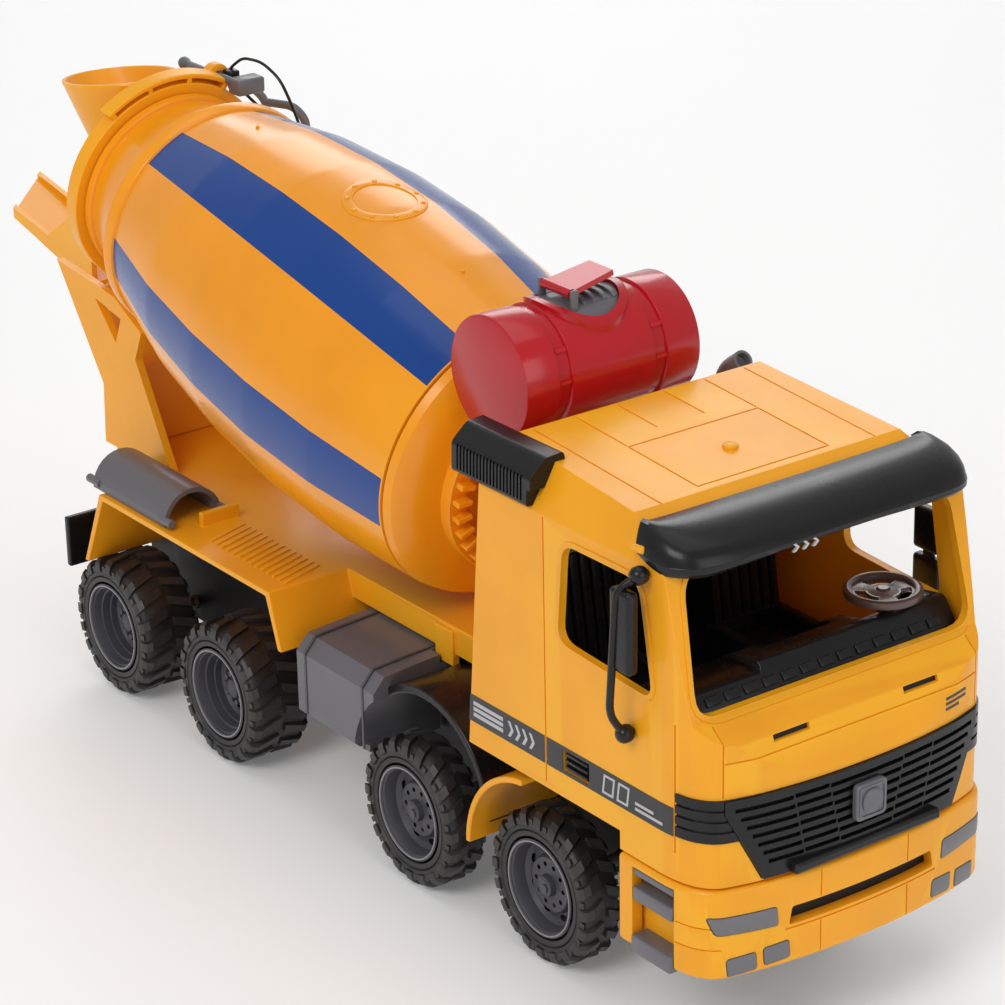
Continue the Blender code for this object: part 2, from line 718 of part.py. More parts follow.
def lamp_cluster(side, sign):
    """The head lamp and two fog lamps of one side on a back strip behind the bumper."""
    half = CAB_HALF + 0.8
    outer = front_plan(280.0, half, 1.3)
    skin = inset(front_plan(260.0, half, 1.0), 3.2 + GAP)
    inner = inset(front_plan(240.0, half, 1.0), 5.2)
    span = sorted((sign * 24.0, sign * 45.5))
    cluster = box("lamp_cluster_" + side, (STEP_X[1] + 0.5, 310.0), span, (29.0, 47.0), "grey")
    keep_inside(cluster, plate("cluster_skin", skin, "xy", 40.0, 60.0))
    for name, near, far, low, high in LAMP_WINDOWS:
        window = sorted((sign * (near + GAP), sign * (far - GAP)))
        post = box("lamp_post_" + name, (STEP_X[1] + 0.5, 310.0), window, (low + GAP, high - GAP))
        keep_inside(post, plate("post_face", outer, "xy", 40.0, 60.0))
        join(cluster, post)
    return cut(cluster, plate("cluster_back", inner, "xy", 40.0, 60.0))


def step_insert(side, sign):
    """Three grey treads on one upright strip in the bumper's side pocket."""
    along = (STEP_X[0] + 0.4, STEP_X[1] - 0.4)
    back = sorted((sign * 43.2, sign * 46.6))
    strip = box("step_insert_" + side, along, back, (26.6, 51.6), "grey")
    for low, high, reach in ((27.4, 32.4, 51.6), (42.4, 46.4, 51.0), (49.6, 51.6, 50.6)):
        tread = sorted((sign * 45.0, sign * reach))
        join(strip, box("tread", along, tread, (low, high)))
    return strip


def front_mudguard(side, sign):
    """The yellow strip behind the front wheel, hanging from the cab."""
    outline = [(207.0, 59.0), (209.2, 59.0), (196.2, 27.0), (194.0, 27.0)]
    return plate("front_mudguard_" + side, outline, "xz", sign * 32.2, 28.6, "yellow")


def sun_visor():
    """The black visor along the top of the windscreen, wrapped round both corners of the roof."""
    outer = [(266.0, 146.6), (273.0, 148.0), (282.0, 146.6), (288.8, 142.6), (290.2, 139.5), (288.0, 137.2)]
    inner = [(286.0, 137.6), (287.8, 140.0), (286.8, 141.6), (281.2, 144.6), (273.0, 146.0), (266.4, 144.9)]
    visor = plate("sun_visor", outer + inner, "xz", 0, 105.0, "black")
    cheek = [
        (270.0, 141.5), (273.5, 147.6), (282.0, 146.2), (288.4, 142.2), (287.4, 137.5),
        (279.5, 138.4), (277.0, 140.0),
    ]
    for sign in (1, -1):
        join(visor, plate("visor_cheek", cheek, "xz", sign * 50.0, 6.2))
    plan = [(250.0, -51.0), (274.0, -51.0), (282.5, -49.0), (287.5, -42.0), (289.8, -26.0), (290.4, 0.0)]
    plan += [(x, -y) for x, y in reversed(plan[:-1])]
    keep_inside(visor, plate("visor_plan", plan, "xy", 140.0, 60.0))
    return cut(visor, cab_block("visor_room", -GAP))


def cab_interior():
    """The black tub: floor, seats, rear panel and dashboard in one moulding."""
    tub = box("cab_interior", (206.0, 287.0), (-45.0, 45.0), (66.5, 69.0), "black")
    join(tub, box("rear_panel", (207.0, 209.5), (-45.0, 45.0), (67.0, 128.0)))
    dash = [(264.0, 67.0), (286.2, 67.0), (286.2, 98.4), (280.4, 106.0), (270.0, 104.0), (264.0, 100.0)]
    join(tub, plate("dashboard", dash, "xz", 0, 90.0))
    for sign in (1, -1):
        span = sorted((sign * 13.0, sign * 37.0))
        join(tub, box("seat", (222.0, 248.0), span, (68.0, 82.0)))
        back = [(216.0, 68.0), (224.0, 68.0), (224.0, 84.0), (219.0, 120.0), (213.0, 120.0)]
        join(tub, plate("seat_back", back, "xz", sign * 25.0, 24.0))
    wheel = STEERING_CENTRE
    return cut(tub, cylinder("column_bore", (wheel[0], wheel[1], 100.0), 1.6 + GAP, 12.0, "Z", 12))


def steering_wheel():
    x, y, z = STEERING_CENTRE
    bore = STEERING_R - 2.4
    section = [(1.3, STEERING_R), (-1.3, STEERING_R), (-1.3, bore), (1.3, bore)]
    ring = turned("steering_wheel", section, 24, "brown")
    ring.location = metres(x, y, z)
    hub = cylinder("steering_hub", (x, y, z - 0.6), 3.4, 2.6, "Z", 16)
    column = cylinder("steering_column", (x, y, z - 5.6), 1.6, 10.0, "Z", 12)
    for i in range(3):
        angle = math.radians(90 + 120 * i)
        spoke = box("spoke", (x - 1.3, x + 1.3), (y + 1.0, y + STEERING_R - 1.0), (z - 0.9, z + 0.7))
        centre = Matrix.Translation(metres(x, y, z))
        turn = centre @ Matrix.Rotation(angle, 4, "Z") @ centre.inverted()
        spoke.matrix_world = turn @ Matrix.Translation(spoke.location)
        join(ring, spoke)
    return join(ring, hub, column)


def mirror(side, sign):
    """A mirror on a bent arm whose two ball ends plug into the side of the cab."""
    near = sign * (CAB_HALF + 2.9)
    far = sign * 57.5
    root = sign * (CAB_HALF - 1.0)
    path = [
        (MIRROR_TOP[0], root, MIRROR_TOP[1]), (MIRROR_TOP[0], near, MIRROR_TOP[1]), (270.5, far, 132.0),
        (267.5, far, 97.0), (MIRROR_LOW[0], near, MIRROR_LOW[1]), (MIRROR_LOW[0], root, MIRROR_LOW[1]),
    ]
    arm = tube("mirror_" + side, path, 1.0, "black")
    for x, z in (MIRROR_TOP, MIRROR_LOW):
        join(arm, cylinder("mirror_ball", (x, near, z), 2.4, 4.0, "Y", 12))
    along, across, height = MIRROR_HEAD[side]
    depth = sorted((sign * across[0], sign * across[1]))
    return join(arm, box("mirror_head", along, depth, height, None, 0.8))


def air_intake():
    """The black cover over the right rear corner of the roof."""
    outline = [
        (-40.5, 151.8), (-46.5, 151.4), (-51.6, 147.0), (-51.8, 138.6), (-46.0, 138.6), (-40.0, 148.6),
    ]
    cover = plate("air_intake", outline, "yz", 211.0, 34.0, "black")
    return cut(cover, cab_block("intake_room", -GAP))


def exhaust_stack():
    x, y = 190.5, 44.0
    pipe = [(x, y, 73.0), (x, y, 134.0), (x + 0.9, y, 140.0), (x + 3.6, y, 144.6), (x + 9.0, y, 148.4)]
    stack = tube("exhaust_stack", pipe, 3.0, "grey")
    return join(stack, box("exhaust_foot", (x - 5.5, x + 5.5), (BEAM_HALF + GAP, y + 4.0), (66.0, 74.0)))


def water_tank():
    """The red drum-shaped tank with its two recessed bands and the round filler neck."""
    half = TANK_HALF
    profile = [(half, 0.0), (half, TANK_R - 1.0), (half - 1.0, TANK_R)]
    for y in (18.0, -14.5):
        profile += [(y, TANK_R), (y, TANK_R - 0.8), (y - 4.0, TANK_R - 0.8), (y - 4.0, TANK_R)]
    profile += [(1.0 - half, TANK_R), (-half, TANK_R - 1.0), (-half, 0.0)]
    tank = turned("water_tank", profile, 28, "red", closed=False)
    tank.location = metres(TANK_X, 0, TANK_Z)
    tank.rotation_euler = AXIS_TURN["Y"]
    join(tank, saddle("tank_neck", NECK_R, 1.2))
    return cut(tank, cylinder("tank_mouth", (TANK_X, 0, TANK_Z + 17.0), CAP_R + GAP, 14.0, "Z", 28))


def saddle(name, radius, lift, colour=None):
    """An upright round boss whose top follows the tank's curve, lift above it."""
    boss = cylinder(name, (TANK_X, 0, TANK_Z + 15.0), radius, 20.0, "Z", 28, colour)
    return keep_inside(boss, cylinder(name + "_top", (TANK_X, 0, TANK_Z), TANK_R + lift, 80.0, "Y", 56))


def tank_cap():
    """The ribbed grey plug in the tank's mouth, with the two ears that carry the flap."""
    cap = saddle("tank_cap", CAP_R, 0.3, "grey")
    cut(cap, box("cap_under", (TANK_X - 20.0, TANK_X + 20.0), (-20.0, 20.0), (TANK_Z - 10.0, TANK_Z + 10.4)))
    for i in range(4):
        y = -2.0 + 3.4 * i
        width = (TANK_X - 7.0, TANK_X + 7.0)
        rib = box("cap_rib", width, (y - 0.6, y + 0.6), (TANK_Z + 14.0, TANK_Z + 20.0))
        keep_inside(rib, cylinder("rib_top", (TANK_X, 0, TANK_Z), TANK_R + 0.9, 40.0, "Y", 56))
        join(cap, rib)
    x, y, z = LATCH_PIN
    for side in (-1, 1):
        ear = sorted((x + side * (LATCH_HALF + GAP), x + side * (LATCH_HALF + 1.5)))
        join(cap, box("cap_ear", ear, (y - 1.2, y + 1.2), (TANK_Z + 12.0, z + 1.3)))
    return cap


def tank_latch():
    """The red flap that hinges on the plug's ears and leans over it."""
    x, y, z = LATCH_PIN
    latch = cylinder("tank_latch", LATCH_PIN, LATCH_PIN_R, 2 * LATCH_HALF, "X", 16, "red")
    outline = [(x - LATCH_HALF, 0.3), (x + LATCH_HALF, 0.3), (x + 5.2, 15.2), (x - 5.2, 15.2)]
    flap = plate("latch_flap", outline, "xy", 0, 1.6)
    flap.data.transform(Matrix.Translation((0, y * MM, z * MM)) @ Matrix.Rotation(LATCH_SLOPE, 4, "X"))
    return join(latch, flap)


# ---------------------------------------------------------------- rear fittings


def chute_extension():
    """The spare chute length, a half pipe stored upside down on the right of the deck."""
    radius = 10.3
    wall = 1.6
    base = DECK_TOP + 0.3
    x = (-4.0, 38.0)
    centre = (EXTENSION_Y, base)
    outline = arc(centre, radius, 0, 180, 14) + arc(centre, radius - wall, 180, 0, 14)
    pipe = plate("chute_extension", outline, "yz", sum(x) / 2, x[1] - x[0], "grey")
    for end in x:
        for sign in (1, -1):
            y = EXTENSION_Y + sign * (radius - 0.8)
            join(pipe, cylinder("extension_pin", (end, y, base + 1.8), 1.4, 7.0, "X", 10))
    return pipe


def access_ladder():
    """The grey ladder on the left of the stand, with hooped handrails at the top."""
    y = LADDER_Y
    foot = DECK_TOP + 0.4
    stiles = [
        [(-40.0, y, foot), (-40.0, y, 169.0), (-44.0, y - 2.0, 173.0), (-52.0, y - 6.0, 173.0)],
        [(-17.0, y, foot), (-17.0, y, 168.0), (-21.0, y - 2.0, 172.0), (-30.0, y - 6.0, 172.0)],
    ]
    ladder = tube("access_ladder", stiles[0], 1.4, "grey")
    join(ladder, tube("ladder_front_stile", stiles[1], 1.4))
    for i in range(6):
        z = 82.0 + 14.0 * i
        join(ladder, tube("ladder_rung", [(-40.5, y, z), (-16.5, y, z)], 1.1))
    bracket = box("ladder_bracket", (-30.0, -26.0), (25.3 + GAP, y), (94.0, 98.0))
    return join(ladder, bracket)


def hopper_lever():
    """The grey lever through the lug on the collar, with a ball grip behind and a paddle in front."""
    x, y, z = LUG_AT
    lever = cylinder("hopper_lever", (x - 4.0, y, z), LEVER_R, 28.0, "X", 14, "grey")
    grip = cylinder("lever_grip", (x - 18.5, y, z), 2.9, 5.0, "X", 14)
    paddle = box("lever_paddle", (x + 8.5, x + 15.0), (y - 1.0, y + 9.0), (z - 4.0, z + 1.2), None, 0.6)
    return join(lever, grip, paddle)


def build():
    chassis_frame()
    mudflap_board()
    rear_deck()
    for side, sign in (("left", 1), ("right", -1)):
        side_box(side, sign)
        lamp_cluster(side, sign)
        step_insert(side, sign)
        front_mudguard(side, sign)
        mirror(side, sign)
    for place in AXLE_X:
        wheel_set(place)
    drum_shell()
    drum_front_bowl()
    mouth_collar()
    feed_hopper()
    discharge_chute()
    rear_pedestal()
    front_pedestal()
    drum_drive()
    cab_shell()
    grille()
    front_badge()
    front_bumper()
    sun_visor()
    cab_interior()
    steering_wheel()
    air_intake()
    exhaust_stack()
    water_tank()
    tank_cap()
    tank_latch()
    chute_extension()
    access_ladder()
    hopper_lever()


clear_scene()
PARTS = new_collection("toy_cement_mixer")
CUTTERS = new_collection("cutters")
build()
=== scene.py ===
"""Looks for the toy cement mixer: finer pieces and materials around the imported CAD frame.

Stations are millimetres: x forward from the rearmost axle, y to the truck's left, z up.
"""

import math

import bmesh
import bpy
from mathutils import Euler, Matrix, Vector


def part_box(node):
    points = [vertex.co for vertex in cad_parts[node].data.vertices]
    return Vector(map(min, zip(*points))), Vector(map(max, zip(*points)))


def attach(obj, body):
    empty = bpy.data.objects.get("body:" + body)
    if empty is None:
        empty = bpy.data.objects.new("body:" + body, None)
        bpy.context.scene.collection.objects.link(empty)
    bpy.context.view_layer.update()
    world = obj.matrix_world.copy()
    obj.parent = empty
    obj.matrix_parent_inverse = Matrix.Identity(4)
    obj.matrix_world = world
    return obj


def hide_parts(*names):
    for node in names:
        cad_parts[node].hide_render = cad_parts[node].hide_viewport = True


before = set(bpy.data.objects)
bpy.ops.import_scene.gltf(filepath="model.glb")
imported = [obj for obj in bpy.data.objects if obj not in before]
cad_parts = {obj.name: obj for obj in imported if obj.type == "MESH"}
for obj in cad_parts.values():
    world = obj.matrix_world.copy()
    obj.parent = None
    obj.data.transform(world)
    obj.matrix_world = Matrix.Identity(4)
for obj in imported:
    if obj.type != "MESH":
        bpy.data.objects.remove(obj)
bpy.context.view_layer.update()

MM = 0.001
AXLE_LOW, AXLE_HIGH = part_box("axle_rear")
ORIGIN = (AXLE_LOW.x + AXLE_HIGH.x) / 2
TILT = math.radians(11.9)


def at(x, y, z):
    return Vector((ORIGIN + x * MM, y * MM, z * MM))


# ---- materials


def node_link(tree, kind, **inputs):
    node = tree.nodes.new(kind)
    for key, value in inputs.items():
        node.inputs[key.replace("_", " ")].default_value = value
    return node


def noise(tree, scale, detail=4.0, roughness=0.5):
    coords = tree.nodes.new("ShaderNodeTexCoord")
    texture = node_link(tree, "ShaderNodeTexNoise", Scale=scale, Detail=detail, Roughness=roughness)
    tree.links.new(coords.outputs["Object"], texture.inputs["Vector"])
    return texture


def ramp(tree, source, low, high, out_low, out_high):
    """Maps source from low..high to out_low..out_high."""
    node = tree.nodes.new("ShaderNodeMapRange")
    tree.links.new(source, node.inputs["Value"])
    for name, value in (("From Min", low), ("From Max", high), ("To Min", out_low), ("To Max", out_high)):
        node.inputs[name].default_value = value
    return node.outputs["Result"]


def mix_colour(tree, factor, first, second):
    node = tree.nodes.new("ShaderNodeMix")
    node.data_type = "RGBA"
    tree.links.new(factor, node.inputs["Factor"])
    for socket, value in (("A", first), ("B", second)):
        target = [i for i in node.inputs if i.name == socket and i.type == "RGBA"][0]
        if isinstance(value, tuple):
            target.default_value = (*value, 1.0)
        else:
            tree.links.new(value, target)
    return [o for o in node.outputs if o.type == "RGBA"][0]


def scaled(colour, factor):
    return tuple(min(1.0, c * factor) for c in colour)


def plastic(name, colour, roughness, glow=0.0, coat=0.0, grain=0.06, worn=1.25, slot=None, shine=0.5):
    """Moulded plastic: faint colour drift, uneven gloss, fine grain, lighter worn edges."""
    material = bpy.data.materials.new(name)
    material.use_nodes = True
    tree = material.node_tree
    shader = tree.nodes["Principled BSDF"]
    drift = noise(tree, 38.0, 3.0)
    tone = ramp(tree, drift.outputs["Fac"], 0.3, 0.7, 0.0, 1.0)
    base = mix_colour(tree, tone, scaled(colour, 0.95), scaled(colour, 1.05))
    geometry = tree.nodes.new("ShaderNodeNewGeometry")
    edge = ramp(tree, geometry.outputs["Pointiness"], 0.53, 0.62, 0.0, 0.55)
    base = mix_colour(tree, edge, base, scaled(colour, worn))
    tree.links.new(base, shader.inputs["Base Color"])
    smear = noise(tree, 90.0, 6.0, 0.6)
    uneven = ramp(tree, smear.outputs["Fac"], 0.25, 0.75, roughness * 0.86, roughness * 1.16)
    tree.links.new(uneven, shader.inputs["Roughness"])
    fine = noise(tree, 2600.0, 2.0)
    bump = node_link(tree, "ShaderNodeBump", Strength=grain, Distance=0.0002)
    tree.links.new(fine.outputs["Fac"], bump.inputs["Height"])
    tree.links.new(bump.outputs["Normal"], shader.inputs["Normal"])
    shader.inputs["Specular IOR Level"].default_value = shine
    shader.inputs["Coat Weight"].default_value = coat
    shader.inputs["Coat Roughness"].default_value = 0.12
    if glow:
        shader.inputs["Subsurface Weight"].default_value = glow
        shader.inputs["Subsurface Radius"].default_value = (1.0, 0.35, 0.06)
        shader.inputs["Subsurface Scale"].default_value = 0.0035
    material["slot"] = slot or name
    return material


YELLOW_RGB = (0.93, 0.385, 0.011)
BLUE_RGB = (0.001, 0.048, 0.255)
YELLOW = plastic("yellow_plastic", YELLOW_RGB, 0.34, glow=0.12, coat=0.08, shine=0.32)
DRUM_RGB = (0.93, 0.335, 0.008)
DRUM_YELLOW = plastic("drum_plastic", DRUM_RGB, 0.24, glow=0.12, coat=0.16, slot="yellow_plastic", shine=0.34)
RED = plastic("red_plastic", (0.46, 0.004, 0.010), 0.2, glow=0.04, coat=0.3, shine=0.4)
BLACK = plastic("black_plastic", (0.008, 0.0075, 0.008), 0.28, coat=0.08, worn=2.2, shine=0.3)
BLACK_DULL = plastic("black_dull", (0.007, 0.0065, 0.007), 0.5, worn=2.0, slot="black_plastic", shine=0.3)
GREY = plastic("grey_plastic", (0.125, 0.122, 0.135), 0.36, coat=0.1)
GREY_DARK = plastic("grey_dark", (0.06, 0.058, 0.066), 0.42, slot="grey_plastic")
GREY_LIGHT = plastic("grey_light", (0.23, 0.225, 0.24), 0.3, coat=0.2, slot="grey_plastic")
RUBBER = plastic("rubber", (0.016, 0.0145, 0.0145), 0.42, grain=0.16, worn=2.4)
BROWN = plastic("brown_plastic", (0.085, 0.05, 0.046), 0.3, coat=0.3)
DECAL_BLACK = plastic("decal_black", (0.028, 0.027, 0.030), 0.4, slot="black_plastic")
DECAL_WHITE = plastic("decal_white", (0.5, 0.5, 0.52), 0.45, worn=1.0, slot="grey_plastic")


def striped(material, half_angle, count, phase, low, high):
    """Adds lengthwise stripes about local Z between the heights low and high, in metres."""
    tree = material.node_tree
    shader = tree.nodes["Principled BSDF"]
    base = shader.inputs["Base Color"].links[0].from_socket
    coords = tree.nodes.new("ShaderNodeTexCoord")
    parts = tree.nodes.new("ShaderNodeSeparateXYZ")
    tree.links.new(coords.outputs["Object"], parts.inputs["Vector"])

    def maths(operation, first, second=0.0):
        node = tree.nodes.new("ShaderNodeMath")
        node.operation = operation
        for socket, value in zip(node.inputs, (first, second)):
            if isinstance(value, float):
                socket.default_value = value
            else:
                tree.links.new(value, socket)
        return node.outputs["Value"]

    angle = maths("ARCTAN2", parts.outputs["Y"], parts.outputs["X"])
    step = 2 * math.pi / count
    shifted = maths("ADD", angle, 4 * math.pi + step / 2 - phase)
    folded = maths("MODULO", shifted, step)
    off_centre = maths("ABSOLUTE", maths("SUBTRACT", folded, step / 2))
    inside = maths("LESS_THAN", off_centre, half_angle)
    above = maths("GREATER_THAN", parts.outputs["Z"], low)
    below = maths("LESS_THAN", parts.outputs["Z"], high)
    mask = maths("MULTIPLY", inside, maths("MULTIPLY", above, below))
    tree.links.new(mix_colour(tree, mask, base, BLUE_RGB), shader.inputs["Base Color"])
    return material


DRUM_STRIPED = striped(
    plastic("drum_striped", DRUM_RGB, 0.22, glow=0.08, coat=0.22, slot="yellow_plastic", shine=0.36),
    math.radians(10.6), 6, math.radians(-35.0), -0.0905, 0.0610,
)


# ---- mesh helpers


def linked(name, data):
    """A new object in the scene."""
    obj = bpy.data.objects.new(name, data)
    bpy.context.scene.collection.objects.link(obj)
    return obj


def object_of(name, bm, matrix=None):
    mesh = bpy.data.meshes.new(name)
    bmesh.ops.recalc_face_normals(bm, faces=bm.faces)
    bm.to_mesh(mesh)
    bm.free()
    obj = linked(name, mesh)
    if matrix:
        obj.matrix_world = matrix
    return obj


def final_mesh(obj):
    """A mesh with the object's modifiers, or its curve's thickness, applied."""
    bpy.context.view_layer.update()
    graph = bpy.context.evaluated_depsgraph_get()
    return bpy.data.meshes.new_from_object(obj.evaluated_get(graph))


def evaluated(obj):
    """Applies the object's modifiers."""
    mesh = final_mesh(obj)
    obj.modifiers.clear()
    obj.data = mesh
    return obj


def combine(obj, others, operation, crossing=False):
    """A Boolean with each of the others in turn, which are then removed."""
    for other in others:
        modifier = obj.modifiers.new("combine", "BOOLEAN")
        modifier.operation = operation
        modifier.solver = "EXACT"
        modifier.use_self = crossing
        modifier.object = other
    evaluated(obj)
    for other in others:
        bpy.data.objects.remove(other)
    return obj


def cut(obj, *others):
    return combine(obj, others, "DIFFERENCE")


def join(obj, *others):
    return combine(obj, others, "UNION")


def keep_inside(obj, *others):
    return combine(obj, others, "INTERSECT")


def tidy_faces(obj, angle=0.6):
    """Welds, and merges faces that lie in one plane."""
    bm = bmesh.new()
    bm.from_mesh(obj.data)
    bmesh.ops.remove_doubles(bm, verts=bm.verts, dist=2e-6)
    bmesh.ops.dissolve_limit(
        bm, angle_limit=math.radians(angle), verts=bm.verts, edges=bm.edges, use_dissolve_boundaries=False
    )
    bmesh.ops.recalc_face_normals(bm, faces=bm.faces)
    bm.to_mesh(obj.data)
    bm.free()
    return obj


def rounded_edges(obj, width, segments=2, angle=32):
    modifier = obj.modifiers.new("round", "BEVEL")
    modifier.width = width * MM
    modifier.segments = segments
    modifier.limit_method = "ANGLE"
    modifier.angle_limit = math.radians(angle)
    modifier.use_clamp_overlap = True
    modifier.miter_outer = "MITER_ARC"
    return obj


def piece(obj, material, stands_for=None, body="chassis", sharp=38):
    """Gives the object its material and its body, and hides the CAD node that it replaces."""
    obj.data.materials.clear()
    obj.data.materials.append(material)
    obj.data.shade_smooth()
    obj.data.set_sharp_from_angle(angle=math.radians(sharp))
    if obj.modifiers:
        weighted = obj.modifiers.new("normals", "WEIGHTED_NORMAL")
        weighted.keep_sharp = True
    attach(obj, body)
    if stands_for:
        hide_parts(stands_for)
    return obj


def moulding(obj, material, width, stands_for=None):
    """A crisp moulded panel: its flat faces merged and its edges softened."""
    tidy_faces(obj, 0.2)
    return piece(rounded_edges(obj, width, 2, 40), material, stands_for, sharp=32)


def box(name, x, y, z):
    bm = bmesh.new()
    bmesh.ops.create_cube(bm, size=1)
    for vert in bm.verts:
        share = [c + 0.5 for c in vert.co]
        vert.co = at(*(low + (high - low) * s for (low, high), s in zip((x, y, z), share)))
    return object_of(name, bm)


def soft(obj, radius, segments=2, angle=32):
    """The object with its edges rounded for good, so that it can be cut or merged."""
    return evaluated(rounded_edges(obj, radius, segments, angle))


def soft_box(name, x, y, z, radius, segments=2):
    return soft(box(name, x, y, z), radius, segments)


def block(name, matrix, size):
    """A cuboid with its size in mm, centred on the matrix."""
    bm = bmesh.new()
    bmesh.ops.create_cube(bm, size=1)
    bmesh.ops.transform(bm, matrix=matrix @ Matrix.Diagonal((*(Vector(size) * MM), 1)), verts=bm.verts)
    return object_of(name, bm)


def about_z(angle, *place):
    """A matrix that moves to the place in mm and then turns it about local Z."""
    return Matrix.Rotation(angle, 4, "Z") @ Matrix.Translation(Vector(place) * MM)


def polar(radius, angle, height):
    return Vector((radius * math.cos(angle), radius * math.sin(angle), height)) * MM


def lofted(name, rows, closed=False):
    """A solid through rows of points in metres: closed back on itself, or capped at both ends."""
    bm = bmesh.new()
    rows = [[bm.verts.new(point) for point in row] for row in rows]
    pairs = list(zip(rows, rows[1:]))
    if closed:
        pairs.append((rows[-1], rows[0]))
    for first, second in pairs:
        for k in range(len(first)):
            j = (k + 1) % len(first)
            bm.faces.new((first[k], first[j], second[j], second[k]))
    if not closed:
        bm.faces.new(rows[0])
        bm.faces.new(list(reversed(rows[-1])))
    return object_of(name, bm)


def prism(name, outline, plane, at_value, thickness):
    """A closed outline in the xz, yz or xy plane, thickened to both sides."""
    place = {
        "xz": lambda u, v, w: at(u, w, v),
        "yz": lambda u, v, w: at(w, u, v),
        "xy": lambda u, v, w: at(u, v, w),
    }[plane]
    ends = (at_value - thickness / 2, at_value + thickness / 2)
    return lofted(name, [[place(u, v, w) for u, v in outline] for w in ends])


def lathe(name, profile, steps, matrix=None, closed=False):
    """A profile of (height, radius) in mm turned about local Z."""
    bm = bmesh.new()
    rings = []
    for height, radius in profile:
        turns = [2 * math.pi * i / steps for i in range(steps)] if radius > 1e-6 else [0]
        rings.append([bm.verts.new(polar(radius, angle, height)) for angle in turns])
    pairs = list(zip(rings, rings[1:]))
    if closed:
        pairs.append((rings[-1], rings[0]))
    for first, second in pairs:
        for i in range(steps):
            j = (i + 1) % steps
            corners = [ring[k % len(ring)] for ring, k in ((first, i), (first, j), (second, j), (second, i))]
            corners = [v for k, v in enumerate(corners) if v is not corners[k - 1]]
            if len(corners) > 2:
                bm.faces.new(corners)
    return object_of(name, bm, matrix)


def turn_to(axis, *place):
    """A matrix that puts local Z along the given axis at a station."""
    direction = Vector(axis)
    return Matrix.Translation(at(*place)) @ direction.to_track_quat("Z", "Y").to_matrix().to_4x4()


def upright(*place):
    return turn_to((0, 0, 1), *place)


def drum_matrix():
    return Matrix.Translation(at(60, 0, 134.5)) @ Euler((0, TILT - math.pi / 2, 0)).to_matrix().to_4x4()


def rod(name, place, axis, radius, length, edge=0.4, steps=32):
    """A round bar centred at place, with rounded ends."""
    half = length / 2
    bend = edge * 0.3
    profile = [(half, 0), (half, radius - edge), (half - bend, radius - bend), (half - edge, radius)]
    profile += [(-h, r) for h, r in reversed(profile)]
    return lathe(name, profile, steps, turn_to(axis, *place))


def softened(before, here, after, reach, steps):
    """Points along a corner's curve, which starts and ends at most reach from it."""
    before, here, after = Vector(before), Vector(here), Vector(after)
    start = here + (before - here).normalized() * reach
    end = here + (after - here).normalized() * reach
    shares = [k / steps for k in range(steps + 1)]
    return [start * (1 - t) ** 2 + here * 2 * t * (1 - t) + end * t * t for t in shares]


def pipe(name, points, radius, resolution=4):
    """A round pipe through the stations, with softened bends."""
    curve = bpy.data.curves.new(name, "CURVE")
    curve.dimensions = "3D"
    curve.bevel_depth = radius * MM
    curve.bevel_resolution = resolution
    curve.use_fill_caps = True
    path = [Vector(p) for p in points]
    soft = [path[0]]
    for before, here, after in zip(path, path[1:], path[2:]):
        reach = min(4, (here - before).length * 0.4, (after - here).length * 0.4)
        soft += softened(before, here, after, reach, 4)
    soft.append(path[-1])
    spline = curve.splines.new("POLY")
    spline.points.add(len(soft) - 1)
    for point, place in zip(spline.points, soft):
        point.co = (*at(*place), 1)
    guide = linked(name, curve)
    mesh = final_mesh(guide)
    bpy.data.objects.remove(guide)
    return tidy_faces(linked(name, mesh), 0.01)


def merged(name, objects):
    """Several closed shapes as one mesh object, without a Boolean."""
    bm = bmesh.new()
    for obj in objects:
        start = len(bm.verts)
        bm.from_mesh(obj.data)
        bm.verts.ensure_lookup_table()
        bmesh.ops.transform(bm, matrix=obj.matrix_world, verts=bm.verts[start:])
        bpy.data.objects.remove(obj)
    mesh = bpy.data.meshes.new(name)
    bm.to_mesh(mesh)
    bm.free()
    return linked(name, mesh)


def rounded(outline, radius, steps=5):
    """The outline with its corners rounded."""
    points = []
    count = len(outline)
    for i in range(count):
        before, here, after = (Vector(outline[k % count]) for k in (i - 1, i, i + 1))
        reach = min(radius, (before - here).length * 0.45, (after - here).length * 0.45)
        points += [tuple(point) for point in softened(before, here, after, reach, steps)]
    return points


def inset(outline, distance):
    """The outline moved inwards. It runs anticlockwise."""
    moved = []
    count = len(outline)
    for i in range(count):
        before, here, after = (Vector(outline[k % count]) for k in (i - 1, i, i + 1))
        first = (here - before).normalized()
        second = (after - here).normalized()
        inward = Vector((-first.y - second.y, first.x + second.x)).normalized()
        share = distance / max(0.3, inward.dot(Vector((-first.y, first.x))))
        moved.append(tuple(here + inward * share))
    return moved


def arc(centre, radius, start, end, steps):
    points = []
    for i in range(steps + 1):
        angle = math.radians(start + (end - start) * i / steps)
        points.append((centre[0] + radius * math.cos(angle), centre[1] + radius * math.sin(angle)))
    return points


def span(low, high):
    return (min(low, high), max(low, high))


def flank(sign, low, high):
    """The range of y from low to high out from the middle, on the side that sign picks."""
    return span(sign * low, sign * high)


def flipped(outline, sign):
    return [(sign * u, v) for u, v in outline]


SIDES = (("left", 1), ("right", -1))


# ---- wheels


# Each axle's station, the distance out to its tyres' outer faces, and its tyres' width.
AXLES = {
    "rear": (0, 48, 21),
    "third": (62, 48, 21),
    "second": (162, 48, 13.5),
    "front": (220, 45.5, 13.5),
}
TYRE_R = 22.4
LUGS = 20


